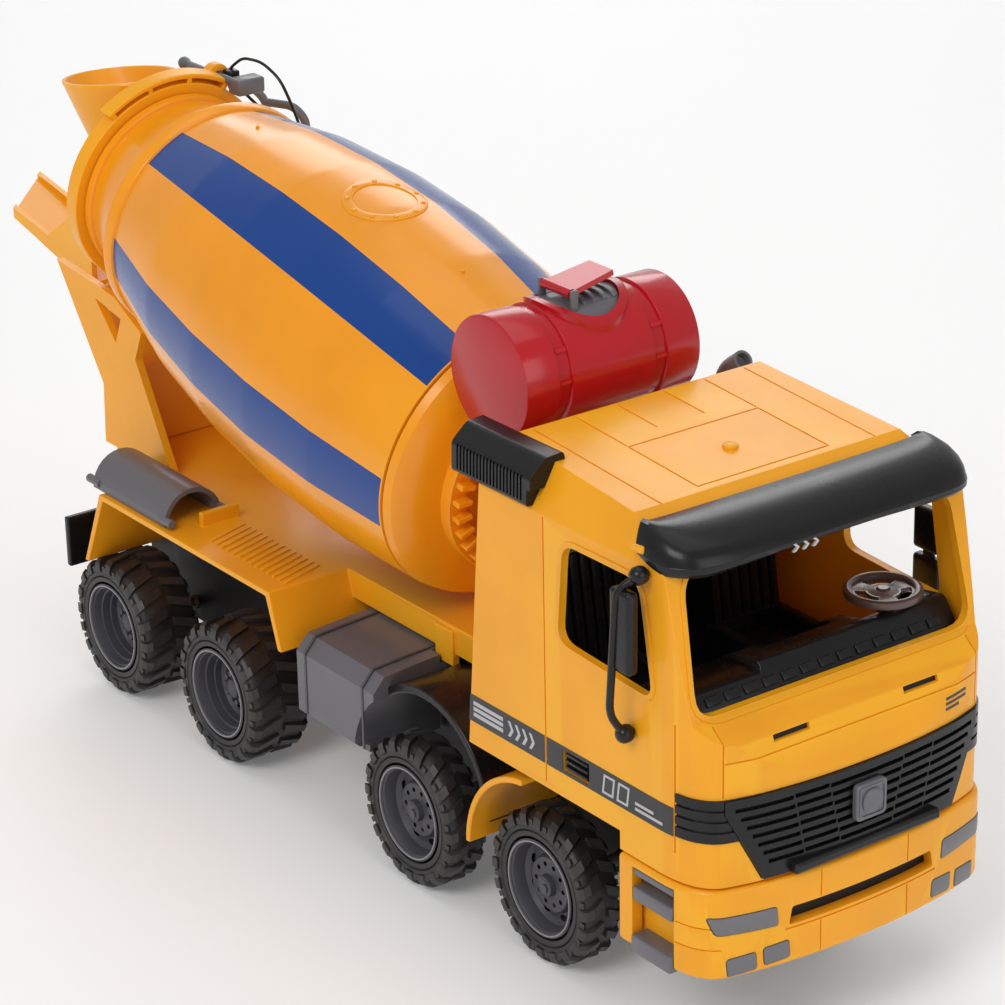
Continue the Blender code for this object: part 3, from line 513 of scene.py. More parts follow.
def tyre_lug(half, side, turn):
    """One shoulder block, leaning with its distance from the tyre's middle."""
    outline = [
        (0.8, 20.6), (0.8, TYRE_R - 0.15), (half - 2.2, TYRE_R), (half - 0.6, 21.3), (half, 19.6),
        (half - 0.05, 18.3), (half - 1.2, 18.3), (half - 2.4, 20.2),
    ]
    rows = []
    for share in (-0.5, 0.5):
        angles = [turn + share * (0.15 - 0.012 * (r - 20)) + 0.16 * (1 - h / half) for h, r in outline]
        rows.append([polar(r, angle, side * h) for (h, r), angle in zip(outline, angles)])
    return lofted("lug", rows)


def tyre_shape(width):
    """A tyre about local Z with chunky shoulder lugs, angled tread bars and ringed side walls."""
    half = width / 2 - 0.15
    wall = [
        (half - 1.6, 14.6), (half - 0.7, 15), (half - 0.5, 16.4), (half - 0.9, 16.7), (half - 0.4, 17.1),
        (half - 0.5, 18.8), (half - 1.2, 20.2), (half - 2.6, 21.1),
    ]
    profile = wall + [(0, 21.3)] + [(-h, r) for h, r in reversed(wall)]
    parts = [lathe("tyre_core", profile, 80, closed=True)]
    pitch = 2 * math.pi / LUGS
    for i in range(LUGS):
        for side in (1, -1):
            parts.append(tyre_lug(half, side, pitch * (i + (0.5 if side < 0 else 0))))
            stud = about_z(pitch * (i + (0 if side < 0 else 0.5)), 19.2, 0, side * (half - 0.75))
            parts.append(block("stud", stud, (1.9, 1.5, 0.7)))
    return merged("tyre_shape", parts)


def ring_of_rods(radius, count, size, height, deep, phase=0, stretch=1):
    """Short bars parallel to local Z, on a circle about it. Used as studs or as cutters."""
    bars = []
    for i in range(count):
        bm = bmesh.new()
        round_bar = {"segments": 14, "radius1": size * MM, "radius2": size * MM, "depth": deep * MM}
        bmesh.ops.create_cone(bm, cap_ends=True, **round_bar)
        place = about_z(phase + 2 * math.pi * i / count, radius, 0, height)
        bmesh.ops.transform(bm, matrix=place @ Matrix.Diagonal((1, stretch, 1, 1)), verts=bm.verts)
        bars.append(object_of("bar", bm))
    return bars


def rim_body(outer, half, face, bowl):
    """The turned rim: its outer face's profile, with a plain hollow back of the bowl's radius."""
    back = [(-half, 14.2), (-half, 12.6), (face - 2.4, bowl), (face - 2.4, 0)]
    return lathe("rim_shape", list(reversed(outer)) + back, 64)


def front_rim(half):
    """The shallow rim: a flange ring of round holes, oval openings outside it and a round cap."""
    face = half - 4.6
    outer = [
        (face + 2.9, 0), (face + 3.3, 2.2), (face + 2.9, 3), (face + 1.2, 3.3), (face + 1, 4),
        (face + 1, 7.8), (face + 0.5, 8.2), (face - 0.6, 8.6), (face - 0.8, 10.8), (face + 0.3, 12),
        (half - 1.6, 12.6), (half - 0.9, 12.9), (half - 0.5, 13.5), (half, 13.7), (half, 14.2),
    ]
    rim = rim_body(outer, half, face, 11.6)
    holes = ring_of_rods(5.9, 10, 0.72, face + 1.2, 1.6)
    ovals = ring_of_rods(10, 8, 0.95, face - 1, 2.4, math.pi / 8, 1.7)
    cut(rim, merged("rim_cuts", holes + ovals))
    studs = ring_of_rods(1, 1, 1.2, face + 3.4, 0.9)
    return merged("rim_front_shape", [rim] + studs)


def rear_rim(half):
    """The deep rim: stepped barrel, dark bowl and a domed hub with a ring of lobes."""
    face = half - 9
    outer = [
        (face + 4.6, 0), (face + 4.4, 1.8), (face + 3.9, 2.9), (face + 2.6, 3.6), (face + 2.2, 5.6),
        (face + 0.2, 6.6), (face, 9.4), (face + 1, 10.4), (face + 3, 10.6), (face + 3.2, 11.2),
        (face + 5.6, 11.5), (face + 5.8, 12.1),
        (half - 1, 12.6), (half - 0.9, 13.2), (half, 13.5), (half, 14.2),
    ]
    rim = rim_body(outer, half, face, 11)
    lobes = ring_of_rods(4.5, 10, 0.85, face + 2.6, 1.8)
    openings = ring_of_rods(8, 8, 0.9, face, 2.2, math.pi / 8, 1.5)
    cut(rim, merged("rim_cuts", openings))
    return merged("rim_rear_shape", [rim] + lobes)


def build_wheels():
    shapes = {}
    for place, (x, outer, width) in AXLES.items():
        body = "axle_set_" + place
        for side, sign in SIDES:
            if width not in shapes:
                half = width / 2 - 0.8
                rim = rear_rim(half) if width > 15 else front_rim(half)
                shapes[width] = (tyre_shape(width), rim)
            matrix = turn_to((0, sign, 0), x, sign * (outer - width / 2), 22.5)
            for kind, source, material in zip(("tyre", "rim"), shapes[width], (RUBBER, GREY_DARK)):
                node = "%s_%s_%s" % (kind, place, side)
                obj = linked(node + "_fine", source.data.copy())
                obj.matrix_world = matrix
                piece(obj, material, node, body, 32)
            section = [(0.25, 13.75), (0.25, 13.35), (-0.25, 13.35), (-0.25, 13.75)]
            face = matrix @ Matrix.Translation((0, 0, (width / 2 - 0.75) * MM))
            line = lathe("rim_line_%s_%s" % (place, side), section, 72, face, closed=True)
            piece(line, GREY_LIGHT, body=body)
    for shapes_of_width in shapes.values():
        for source in shapes_of_width:
            bpy.data.objects.remove(source)


# ---- drum


CROWN_TEETH = 32
HATCH_ALONG = -24
HATCH_TURN = math.radians(-1.5)
SEAM = -91
BANDS = [(61, 38.2), (30.6, 45.2), (0, 48.9), (-30, 50), (-60.5, 48.35), (SEAM, 44)]


def barrel_radius(along):
    for (high, big), (low, small) in zip(BANDS, BANDS[1:]):
        if low <= along <= high:
            return small + (big - small) * (along - low) / (high - low)
    return BANDS[-1][1]


def on_barrel(along, angle, lift=0):
    """A station on the barrel, angle 0 on top and growing to the left."""
    return drum_matrix() @ polar(barrel_radius(along) + lift, angle, along)


def eased(bands, ease=1.5):
    """The banded profile with each bend softened over a few millimetres."""
    points = [bands[0]]
    for before, here, after in zip(bands, bands[1:], bands[2:]):
        before, here, after = Vector(before), Vector(here), Vector(after)
        first = here + (before - here) * ease / abs(before.x - here.x)
        last = here + (after - here) * ease / abs(after.x - here.x)
        for t in (0, 0.5, 1):
            points.append(tuple(first * (1 - t) ** 2 + here * 2 * t * (1 - t) + last * t * t))
    return points + [bands[-1]]


def build_drum():
    mouth = [
        (93.5, 26.4), (93.5, 27.8), (89.2, 27.9), (89, 31.2), (88.6, 31.7), (86.6, 31.7), (86.2, 31.3),
        (86, 30.7),
        (66.2, 36.4), (65.9, 38.6), (65.4, 39.1), (61.9, 39.1), (61.3, 38.8),
    ]
    inner = [(s, barrel_radius(s) - 1.7) for s in (SEAM, -60.5, -30, 0, 30.6, 60.5)]
    inner += [(86, 28.7), (89, 26.4)]
    shell = lathe("drum_shell_fine", mouth + eased(BANDS) + inner, 128, drum_matrix(), closed=True)
    piece(shell, DRUM_STRIPED, "drum_shell", "drum", 30)
    edge = 43.7
    bowl_profile = [
        (SEAM - 0.5, edge - 1.4), (SEAM - 0.5, edge - 0.4), (SEAM - 0.9, edge), (SEAM - 3.5, edge - 0.9),
        (SEAM - 6.5, edge - 4.3), (SEAM - 8.2, edge - 8.4), (SEAM - 9.2, 31.5), (SEAM - 9.6, 30.2),
        (SEAM - 12.9, 30.1),
        (SEAM - 13.3, 29.7), (SEAM - 13.3, 24.4), (SEAM - 10.9, 23), (SEAM - 10.8, 4), (SEAM - 22, 3.9),
        (SEAM - 22.2, 3.6), (SEAM - 22.2, 0),
    ]
    back = [(SEAM - 8.8, 0), (SEAM - 8.8, 22), (SEAM - 2.3, edge - 6), (SEAM - 0.8, edge - 3)]
    bowl = lathe("drum_bowl_fine", list(reversed(bowl_profile)) + list(reversed(back)), 112, drum_matrix())
    piece(bowl, DRUM_YELLOW, "drum_front_bowl", "drum", 28)
    teeth = []
    for i in range(CROWN_TEETH):
        place = about_z(2 * math.pi * i / CROWN_TEETH, 26.3, 0, SEAM - 14.3)
        teeth.append(block("tooth", place, (5, 1.8, 3.6)))
    crown = merged("crown_teeth_fine", teeth)
    crown.matrix_world = drum_matrix()
    piece(rounded_edges(crown, 0.35), DRUM_YELLOW, body="drum")
    build_hatch()


def hatch_place(radius, angle):
    """The station along the barrel and the turn about it of a point round the hatch."""
    along = HATCH_ALONG + radius * math.cos(angle)
    return along, HATCH_TURN + radius * math.sin(angle) / barrel_radius(along)


def build_hatch():
    """The round hatch moulded on the barrel, with its ring of bolt heads, and the drum's small pips."""
    profile = [(9.3, -0.2), (9.4, 0.28), (9.7, 0.38), (12.2, 0.38), (12.5, 0.28), (12.6, -0.2)]
    rows = []
    for i in range(64):
        angle = 2 * math.pi * i / 64
        row = []
        for radius, lift in profile:
            row.append(on_barrel(*hatch_place(radius, angle), lift))
        rows.append(row)
    piece(lofted("drum_hatch_ring", rows, closed=True), DRUM_YELLOW, body="drum", sharp=50)
    bolts = []
    for i in range(10):
        bolts.append((*hatch_place(11, 2 * math.pi * (i + 0.5) / 10), 0.75))
    bolts += [(-66, math.radians(-4.5), 0.6), (41, math.radians(-3), 0.6)]
    heads = []
    for along, turn, size in bolts:
        base = on_barrel(along, turn, -0.2)
        normal = on_barrel(along, turn, 1) - base
        profile = [(0.95, 0), (0.95, size * 0.7), (0.8, size), (0, size), (0, 0)]
        matrix = Matrix.Translation(base) @ normal.to_track_quat("Z", "Y").to_matrix().to_4x4()
        heads.append(lathe("bolt", profile, 16, matrix))
    piece(merged("drum_bolts", heads), DRUM_YELLOW, body="drum")


# ---- mouth, hopper and chute


LUG = (-28.5, 19.2, 185)


def build_collar():
    profile = [
        (95.1, 26.1), (95.1, 34.4), (94.8, 34.7), (89.8, 34.7), (89.5, 34.4), (89.5, 28.8), (94.1, 28.7),
        (94.1, 26.1),
    ]
    collar = lathe("mouth_collar_fine", profile, 112, drum_matrix(), closed=True)
    piece(collar, YELLOW, "mouth_collar", sharp=30)
    section = [
        (95, 34.2), (95, 37.4), (94.6, 37.8), (90, 37.8), (89.6, 37.4), (89.6, 36.4), (94, 36.4), (94, 34.2),
    ]
    turns = [math.radians(-40 + 74 * i / 30) for i in range(31)]
    rows = [[drum_matrix() @ polar(radius, turn, along) for along, radius in section] for turn in turns]
    piece(lofted("collar_band", rows), YELLOW, sharp=30)
    webs = []
    for degrees in (-38, -15, 8, 31):
        place = drum_matrix() @ about_z(math.radians(degrees), 35.8, 0, 92)
        webs.append(block("web", place, (3, 1.6, 4.6)))
    piece(rounded_edges(merged("collar_webs", webs), 0.3), YELLOW)
    x, y, z = LUG
    lug = rod("collar_lug_fine", LUG, (1, 0, 0), 4, 4, 0.5, 40)
    foot = box("lug_foot", (x - 1.7, x + 1.7), (y - 3.4, y + 2.6), (z - 7.5, z))
    join(lug, foot)
    cut(lug, rod("lug_bore", LUG, (1, 0, 0), 1.9, 12))
    piece(rounded_edges(lug, 0.3, 2, 40), YELLOW)


def oval(centre, reach_x, reach_y, slope, count=72):
    ring = []
    for i in range(count):
        angle = 2 * math.pi * i / count
        dx = reach_x * math.cos(angle)
        ring.append((centre[0] + dx, reach_y * math.sin(angle), centre[2] + slope * dx))
    return ring





def funnel_ring(share, reach_x, reach_y):
    """A ring part of the way up the funnel, whose reaches are those at its throat."""
    centre = (-45 - 10.5 * share, 0, 156 + 26.5 * share)
    flare = share ** 0.9
    return oval(centre, reach_x + 13.5 * flare, reach_y + 5 * flare, 0.22 - 0.06 * share)


def build_hopper():
    rings = [funnel_ring(share, 9, 12) for share in (0, 0.35, 0.7, 0.93)]
    for x, z, reach_x, reach_y in (
        (-55.2, 181.9, 22.5, 17), (-55.5, 182.6, 22.3, 16.9), (-55.5, 182.6, 21.2, 15.8),
        (-55.2, 181.4, 20.7, 15.3),
    ):
        rings.append(oval((x, 0, z), reach_x, reach_y, 0.16))
    rings += [funnel_ring(share, 7.4, 10.4) for share in (0.7, 0.35, 0)]
    funnel = lofted("feed_hopper_fine", [[at(*point) for point in ring] for ring in rings], closed=True)
    clearance = [(95.4, 0), (95.4, 60), (60, 60), (60, 0)]
    cut(funnel, lathe("clearance", clearance, 96, drum_matrix()))
    piece(funnel, YELLOW, "feed_hopper", sharp=40)
    ribs = []
    for side, sign in SIDES:
        rib = prism("rib", [(-33, 158), (-36, 158), (-52, 176), (-33, 180)], "xz", sign * 11.5, 1.4)
        ribs.append(cut(rib, lathe("clearance", clearance, 64, drum_matrix())))
    piece(merged("hopper_ribs", ribs), YELLOW)


def build_lever():
    x, y, z = LUG
    bar = rod("lever_bar", (x - 4, y, z), (1, 0, 0), 1.25, 28)
    grip = lathe("lever_grip", [
        (2.2, 0), (2, 1), (1.4, 1.7), (0.4, 2.1), (-0.8, 1.9), (-1.9, 1.3), (-2.4, 1.1), (-2.4, 0)],
        32, turn_to((-1, 0, 0), x - 18.2, y, z))
    paddle = soft_box("lever_paddle", (x + 8.5, x + 15), (y - 1, y + 9), (z - 4, z + 1.2), 0.9, 3)
    lever = merged("hopper_lever_fine", [bar, grip, paddle])
    piece(lever, GREY, "hopper_lever", "hopper_lever")


def build_ladder():
    y = 45
    foot = 69.9
    stiles = [
        [(-40, y, foot), (-40, y, 169), (-44, y - 2, 173), (-52, y - 6, 173)],
        [(-17, y, foot), (-17, y, 168), (-21, y - 2, 172), (-30, y - 6, 172)],
    ]
    parts = [pipe("stile", points, 1.4) for points in stiles]
    for i in range(6):
        z = 82 + 14 * i
        parts.append(pipe("rung", [(-40.5, y, z), (-28, y, z), (-16.5, y, z)], 1.1))
    parts.append(soft_box("bracket", (-30, -26), (25.6, y), (94, 98), 0.5))
    piece(merged("access_ladder_fine", parts), GREY, "access_ladder")


def build_cable_tie():
    """The thin black strap looped through the lug."""
    loop = [
        (-26, 21.5, 184), (-25, 23, 187.6), (-20.5, 24.5, 191.3), (-12, 26, 191.6), (-4, 27.5, 187.5),
        (0, 29, 179.5), (1, 31.5, 171), (-4, 33, 167), (-14, 30, 172), (-22, 25, 180),
    ]
    strap = pipe("cable_tie", loop, 0.5, 2)
    head = soft_box("tie_head", (-27.2, -22.4), (20.6, 24.6), (183.8, 187), 0.6)
    piece(merged("cable_tie_loop", [strap, head]), BLACK)


# ---- stands, deck and chassis


def build_deck():
    bars = []
    for sign in (1, -1):
        for i in range(14):
            low = 50 + 3.1 * i
            near, far = sign * 27.5, sign * 43
            outline = [(low, near), (low + 1.3, near), (low + 1.3 + 5, far), (low + 5, far)]
            bars.append(soft(prism("tread_bar", outline, "xy", 69.6, 0.9), 0.25))
    piece(merged("deck_tread", bars), YELLOW)


def build_side_boxes():
    for side, sign in SIDES:
        straps = []
        for x in (112.5, 141.5):
            outline = [
                (18, 60.35), (43.3, 58.75), (47.3, 54.4), (47.55, 54), (47.75, 54), (47.7, 54.6), (43.7, 59.1),
                (18, 60.75),
            ]
            straps.append(prism("strap", flipped(outline, sign), "yz", x, 0.9))
            straps.append(box("strap_low", (x - 0.45, x + 0.45), flank(sign, 47.3, 47.75), (35, 54.2)))
        piece(merged("side_straps_" + side, straps), GREY_DARK)
        ring = arc((164, 30), 30.3, 176, 2, 36) + arc((164, 30), 27.9, 2, 176, 36)
        trim = prism("arch_trim_" + side, ring, "xz", sign * 29.8, 24.9)
        piece(rounded_edges(trim, 0.4), BLACK)


# CAD nodes whose own form is only softened: material, body, edge width, segments, edge angle.
SOFTENED = {
    "discharge_chute": (YELLOW, "discharge_chute", 0.5, 2, 32),
    "rear_deck": (YELLOW, "chassis", 0.55, 3, 32),
    "side_box_left": (GREY, "chassis", 0.5, 2, 32),
    "side_box_right": (GREY, "chassis", 0.5, 2, 32),
    "rear_pedestal": (YELLOW, "chassis", 0.4, 2, 40),
    "front_pedestal": (YELLOW, "chassis", 0.5, 2, 40),
    "chassis_frame": (BLACK_DULL, "chassis", 0.5, 2, 40),
    "mudflap_board": (BLACK, "chassis", 0.6, 2, 40),
    "chute_extension": (GREY, "chute_extension", 0.35, 2, 40),
    "drive_crank": (GREY, "drive_crank", 0.3, 2, 40),
    "tank_latch": (RED, "tank_latch", 0.35, 3, 40),
}


def build_softened():
    for node, (material, body, width, segments, angle) in SOFTENED.items():
        fine = tidy_faces(linked(node + "_fine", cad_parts[node].data.copy()))
        piece(rounded_edges(fine, width, segments, angle), material, node, body)
    for place in AXLES:
        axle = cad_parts["axle_" + place]
        axle.data.materials.clear()
        axle.data.materials.append(GREY)


# ---- tank


TANK = (181, 0, 155.4)
TANK_R = 17.5
CAP_R = 11.5
HINGE = (181.6, -6.4, 175.8)


def saddle(name, radius, lift):
    """An upright round boss whose top follows the tank's curve, lift above it."""
    boss = lathe(name, [(24, 0), (24, radius), (5, radius), (5, 0)], 96, upright(*TANK))
    return keep_inside(boss, rod("curve", TANK, (0, 1, 0), TANK_R + lift, 80, 0.4, 128))


def tank_ring(name, y, width, low, lift, depth):
    """A piece of band round the front of the tank, from depth below its surface to lift above it."""
    band = box(name, (TANK[0] + 6, TANK[0] + 22), (y - width / 2, y + width / 2), low)
    keep_inside(band, rod("outside", TANK, (0, 1, 0), TANK_R + lift, 80, 0.4, 96))
    return cut(band, rod("inside", TANK, (0, 1, 0), TANK_R - depth, 90, 0.4, 96))


def build_tank():
    half = 29.6
    end = [(half, 0), (half, TANK_R - 0.7), (half - 0.2, TANK_R - 0.2), (half - 0.7, TANK_R)]
    profile = list(end)
    for y in (18, -14.5):
        profile += [(y + 0.2, TANK_R), (y, TANK_R - 0.25), (y - 0.2, TANK_R - 0.8), (y - 3.8, TANK_R - 0.8)]
        profile += [(y - 4, TANK_R - 0.25), (y - 4.2, TANK_R)]
    profile += [(-h, r) for h, r in reversed(end)]
    tank = lathe("water_tank_fine", profile, 112, turn_to((0, 1, 0), *TANK))
    bore = [(26, 0), (26, 11.8), (10.2, 11.8), (10.2, 0)]
    cut(tank, lathe("well", bore, 96, upright(*TANK)))
    piece(tank, RED, "water_tank", sharp=32)
    neck = saddle("tank_neck", 14.1, 1.2)
    cut(neck, lathe("well", bore, 96, upright(*TANK)))
    tidy_faces(neck, 0.2)
    piece(rounded_edges(neck, 0.4, 3, 50), RED, sharp=32)
    bars = []
    for y in (16, -16.5):
        for low in (155.5, 164):
            bars.append(tank_ring("bar", y, 3.6, (low, low + 1), -0.2, 2.6))
    piece(merged("tank_slot_bars", bars), RED)
    cap = saddle("tank_cap_fine", CAP_R, 0.3)
    cut(cap, box("under", (TANK[0] - 20, TANK[0] + 20), (-20, 20), (TANK[2], TANK[2] + 10.4)))
    tidy_faces(cap, 0.2)
    parts = [soft(cap, 0.4, 3, 50)]
    for i in range(4):
        y = -2 + 3.4 * i
        rib = box("rib", (TANK[0] - 7, TANK[0] + 7), (y - 0.6, y + 0.6), (TANK[2] + 14, TANK[2] + 20))
        keep_inside(rib, rod("rib_top", TANK, (0, 1, 0), TANK_R + 0.9, 60, 0.4, 96))
        parts.append(soft(rib, 0.3, 2, 40))
    x, y, z = HINGE
    for side in (-1, 1):
        across = span(x + side * 6.5, x + side * 7.7)
        parts.append(soft_box("ear", across, (y - 1.2, y + 1.2), (z - 8.4, z + 1.3), 0.4))
    piece(merged("tank_cap_ribbed", parts), GREY, "tank_cap")


# ---- cab


CAB_HALF = 50
CAB_SIDE = [
    (196.5, 59.5), (262, 59.5), (262, 54.2), (308, 54.2), (301, 78), (296, 93.5), (288.8, 99.5),
    (280.3, 137), (262, 147), (208, 151), (203.5, 138),
]
CAB_FRONT = [(CAB_HALF, 50), (CAB_HALF, 137.5), (42.5, 151), (38, 156)]
SIDE_WINDOW = rounded([(237, 104.3), (276, 102), (270.5, 132.8), (239.5, 132.6)], 5)
WINDSCREEN = rounded([(-46.8, 99.8), (46.8, 99.8), (44.5, 137), (-44.5, 137)], 7)


def front_plan(back_x, half, forward=0):
    """The cab and bumper seen from above, with the front corners drawn as smooth curves."""
    corner = [(282, -half), (289.5, -half + 1.6), (294.5, -half + 5.4), (297.6, -34), (299.8, -18)]
    right = [(back_x, -half)] + [(x + forward, y) for x, y in corner]
    left = [(x, -y) for x, y in reversed(right)]
    outline = right + [(300.5 + forward, 0)] + left
    return [outline[0]] + rounded(outline, 9, 3)[4:-4] + [outline[-1]]


def cab_block(name, shrink):
    """The cab's outer form, shrunk on every side, or grown when the number is negative."""
    side = prism(name, inset(CAB_SIDE, shrink), "xz", 0, 130)
    front = CAB_FRONT + [(-u, v) for u, v in reversed(CAB_FRONT)]
    keep_inside(side, prism("front", inset(front, shrink), "yz", 250, 140))
    return keep_inside(side, prism("plan", inset(front_plan(180, CAB_HALF), shrink), "xy", 100, 140))


def skin(name, region, lift, depth=0.1):
    """A thin sheet on the cab's surface, inside the region, from depth below it to lift above it."""
    sheet = cab_block(name, -lift)
    keep_inside(sheet, region)
    return cut(sheet, cab_block("inside", depth))


def groove(obj, boxes, depth, inner):
    """Cuts shallow lines into a surface: the boxes less the shrunken inner form."""
    for line in boxes:
        cutter = cut(line, inner(depth))
        cut(obj, cutter)
    return obj


def grille_outline(grow):
    low, high = 54.9 - grow, 79 + grow
    right = [(32.5 + grow, low), (43 + grow, high - 4), (43 + grow, high)]
    return right + [(-y, z) for y, z in reversed(right)]


def cab_lines():
    lines = []
    for side, sign in SIDES:
        skirt = flank(sign, 49, 51)
        lines.append(box("door_seam", (230.8, 231.3), skirt, (61.5, 137)))
        lines.append(box("front_seam", (283.6, 284.1), flank(sign, 46, 51), (62, 98)))
        lines.append(box("bonnet_end", (285, 304), flank(sign, 42.8, 43.3), (79.6, 98)))
    lines.append(box("bonnet_line", (285, 304), (-42.6, 42.6), (88.9, 89.4)))
    for y in (-36, -22, 22, 36):
        front = 262 if abs(y) > 30 else 230.5
        lines.append(box("roof_line", (209, front), (y - 0.3, y + 0.3), (143, 153)))
    for y in (-8, 8):
        lines.append(box("roof_line", (209, 226), (y - 0.3, y + 0.3), (143, 153)))
    for x in (231, 259):
        lines.append(box("roof_cross", (x, x + 0.6), (-22.3, 22.3), (143, 153)))
    for y in (-22.3, 21.7):
        lines.append(box("roof_edge", (231.7, 258.9), (y, y + 0.6), (143, 153)))
    return lines


def build_cab():
    shell = cab_block("cab_shell_fine", 0)
    tidy_faces(shell)
    soft(shell, 1.1, 3, 24)
    cut(shell, cab_block("cab_room", 2))
    cut(shell, prism("cab_bottom", inset(front_plan(180, CAB_HALF), 2), "xy", 53, 26))
    cut(shell, prism("side_windows", SIDE_WINDOW, "xz", 0, 130))
    cut(shell, prism("windscreen", WINDSCREEN, "yz", 290, 40))
    cut(shell, prism("grille_opening", grille_outline(0.15), "yz", 305, 30))
    for side, sign in SIDES:
        skirt = flank(sign, 48.7, 52)
        cut(shell, box("handle_recess", (238.4, 249.6), skirt, (67.6, 73.6)))
        cut(shell, box("bonnet_slot", (285, 304), flank(sign, 16, 28), (91.4, 93.3)))
    groove(shell, cab_lines(), 0.45, lambda depth: cab_block("inner", depth))
    moulding(shell, YELLOW, 0.22, "cab_shell")
    slots = box("slot_lining", (285, 296.2), (-28, 28), (91.5, 93.2))
    keep_inside(slots, cab_block("lining", 1.1))
    cut(slots, cab_block("lining", 1.7))
    cut(slots, box("between", (280, 300), (-16, 16), (90, 95)))
    piece(slots, BLACK_DULL)
    borders = []
    for side, sign in SIDES:
        ring = prism("border", inset(SIDE_WINDOW, -1.5), "xz", sign * 50, 6)
        sheet = skin("window_border", ring, 0.4)
        borders.append(cut(sheet, prism("opening", inset(SIDE_WINDOW, 0.05), "xz", 0, 130)))
    ring = prism("border", inset(WINDSCREEN, -1.4), "yz", 290, 30)
    sheet = skin("window_border", ring, 0.35)
    borders.append(cut(sheet, prism("opening", inset(WINDSCREEN, 0.05), "yz", 290, 40)))
    frames = merged("cab_window_borders", borders)
    moulding(frames, YELLOW, 0.18)
    profile = [(0.9, 0), (0.9, 1.7), (0.6, 2.1), (-0.6, 2.1), (-0.6, 0)]
    piece(lathe("roof_button", profile, 24, upright(246, 0, 148.3)), YELLOW)


def build_stickers():
    """Black side bands with plain bars and slashes, the handle recesses, and small bars on the bonnet."""
    for side, sign in SIDES:
        skirt = flank(sign, 48, 52)
        band = skin("side_band", box("region", (196.8, 283.4), skirt, (66.6, 74.6)), 0.12)
        cut(band, box("seam", (230.6, 231.5), skirt, (60, 80)))
        cut(band, box("handle", (238.4, 249.6), skirt, (67.6, 73.6)))
        band.name = "side_band_" + side
        piece(band, DECAL_BLACK)
        marks = []
        for low in (68.4, 70.1, 71.8):
            marks.append(box("bar", (199.2, 212.4), flank(sign, 50.1, 50.2), (low, low + 1.1)))
        for i in range(4):
            x = 214.6 + 3.1 * i
            slash = [(x, 68.4), (x + 1.1, 68.4), (x + 2.5, 70.6), (x + 1.1, 72.9), (x, 72.9), (x + 1.4, 70.6)]
            marks.append(prism("slash", slash, "xz", sign * 50.15, 0.1))
        for i in range(2):
            x = 255 + 6 * i
            outer = [(x, 67.8), (x + 4.6, 67.8), (x + 5.4, 73.4), (x + 0.8, 73.4)]
            shape = prism("frame_mark", outer, "xz", sign * 50.15, 0.1)
            marks.append(cut(shape, prism("middle", inset(outer, 0.65), "xz", sign * 50.15, 0.6)))
        marks.append(box("bar", (268.6, 279.6), flank(sign, 50.1, 50.2), (68.2, 69)))
        marks.append(box("bar", (268.6, 276), flank(sign, 50.1, 50.2), (69.8, 70.6)))
        piece(merged("side_marks_" + side, marks), DECAL_WHITE)
        grip = box("grip", (238.5, 249.5), flank(sign, 48.3, 48.9), (67.7, 73.5))
        bars = [grip]
        for low in (68.3, 70.2, 72.1):
            depth = flank(sign, 48.8, 50.1)
            bars.append(soft_box("rail", (239.2, 248.8), depth, (low, low + 0.9), 0.25))
        piece(merged("door_handle_" + side, bars), BLACK)
    small = []
    for i, (length, low) in enumerate(((8.6, 86), (8.6, 84.5), (5.6, 83))):
        region = box("region", (290, 306), (29.5, 29.5 + length), (low, low + 0.8))
        small.append(skin("bonnet_mark", region, 0.1, 0.05))
    piece(merged("bonnet_marks", small), DECAL_BLACK)


BADGE_Z = 68.7


def badge_square(half, radius):
    corners = [(-half, -half), (half, -half), (half, half), (-half, half)]
    return rounded([(y, BADGE_Z + z) for y, z in corners], radius)


def build_grille():
    panel = prism("grille_fine", grille_outline(0), "yz", 296, 14)
    keep_inside(panel, prism("face", front_plan(280, CAB_HALF, 0.9), "xy", 70, 60))
    cut(panel, prism("back", front_plan(240, CAB_HALF, -3.4), "xy", 70, 60))
    slots = []
    for i in range(7):
        z = 59.2 + i * 2.7
        half = 31.4 + i * 1.55
        breaks = [-half, -half + 11 + i, -9 - 0.6 * i, 9 + 0.6 * i, half - 11 - i, half]
        lifts = [0, 0.25, 0, 0.25, 0]
        for low, high, lift in zip(breaks, breaks[1:], lifts):
            slots.append(box("slot", (292, 310), (low + 0.25, high - 0.25), (z + lift, z + lift + 1.15)))
    cutter = merged("grille_slots", slots)
    cut(cutter, prism("stop", front_plan(270, CAB_HALF, -0.7), "xy", 70, 60))
    cut(panel, cutter)
    moulding(panel, BLACK, 0.25, "grille")
    bar = box("grille_bar_fine", (297, 302.4), (-25, 25), (54.9, 57.9))
    piece(rounded_edges(bar, 0.8, 3), BLACK)
    for side, sign in SIDES:
        region = box("region", (284.3, 310), flank(sign, 33, 52), (67.2, 79.2))
        wrap = skin("grille_wrap_" + side, region, 0.55, 0.1)
        cut(wrap, prism("grille_gap", grille_outline(0.1), "yz", 300, 40))
        groove(
            wrap, [box("line", (280, 310), flank(sign, 30, 54), (z, z + 0.8)) for z in (70, 73, 76)],
            -0.05, lambda depth: cab_block("inner", depth),
        )
        moulding(wrap, BLACK, 0.16)
    plate = prism("badge_plate", badge_square(5.2, 1.6), "yz", 301.9, 2)
    soft(plate, 0.45, 3)
    profile = [(0.9, 0), (0.9, 3), (0.5, 3.5), (-1, 3.5), (-1, 0)]
    boss = lathe("boss", profile, 40, turn_to((1, 0, 0), 302.9, 0, BADGE_Z))
    ring = prism("badge_ring", badge_square(4.4, 1.2), "yz", 302.95, 0.5)
    cut(ring, prism("inner", badge_square(3.9, 1), "yz", 302.95, 2))
    piece(merged("front_badge_fine", [plate, ring, boss]), GREY, "front_badge")


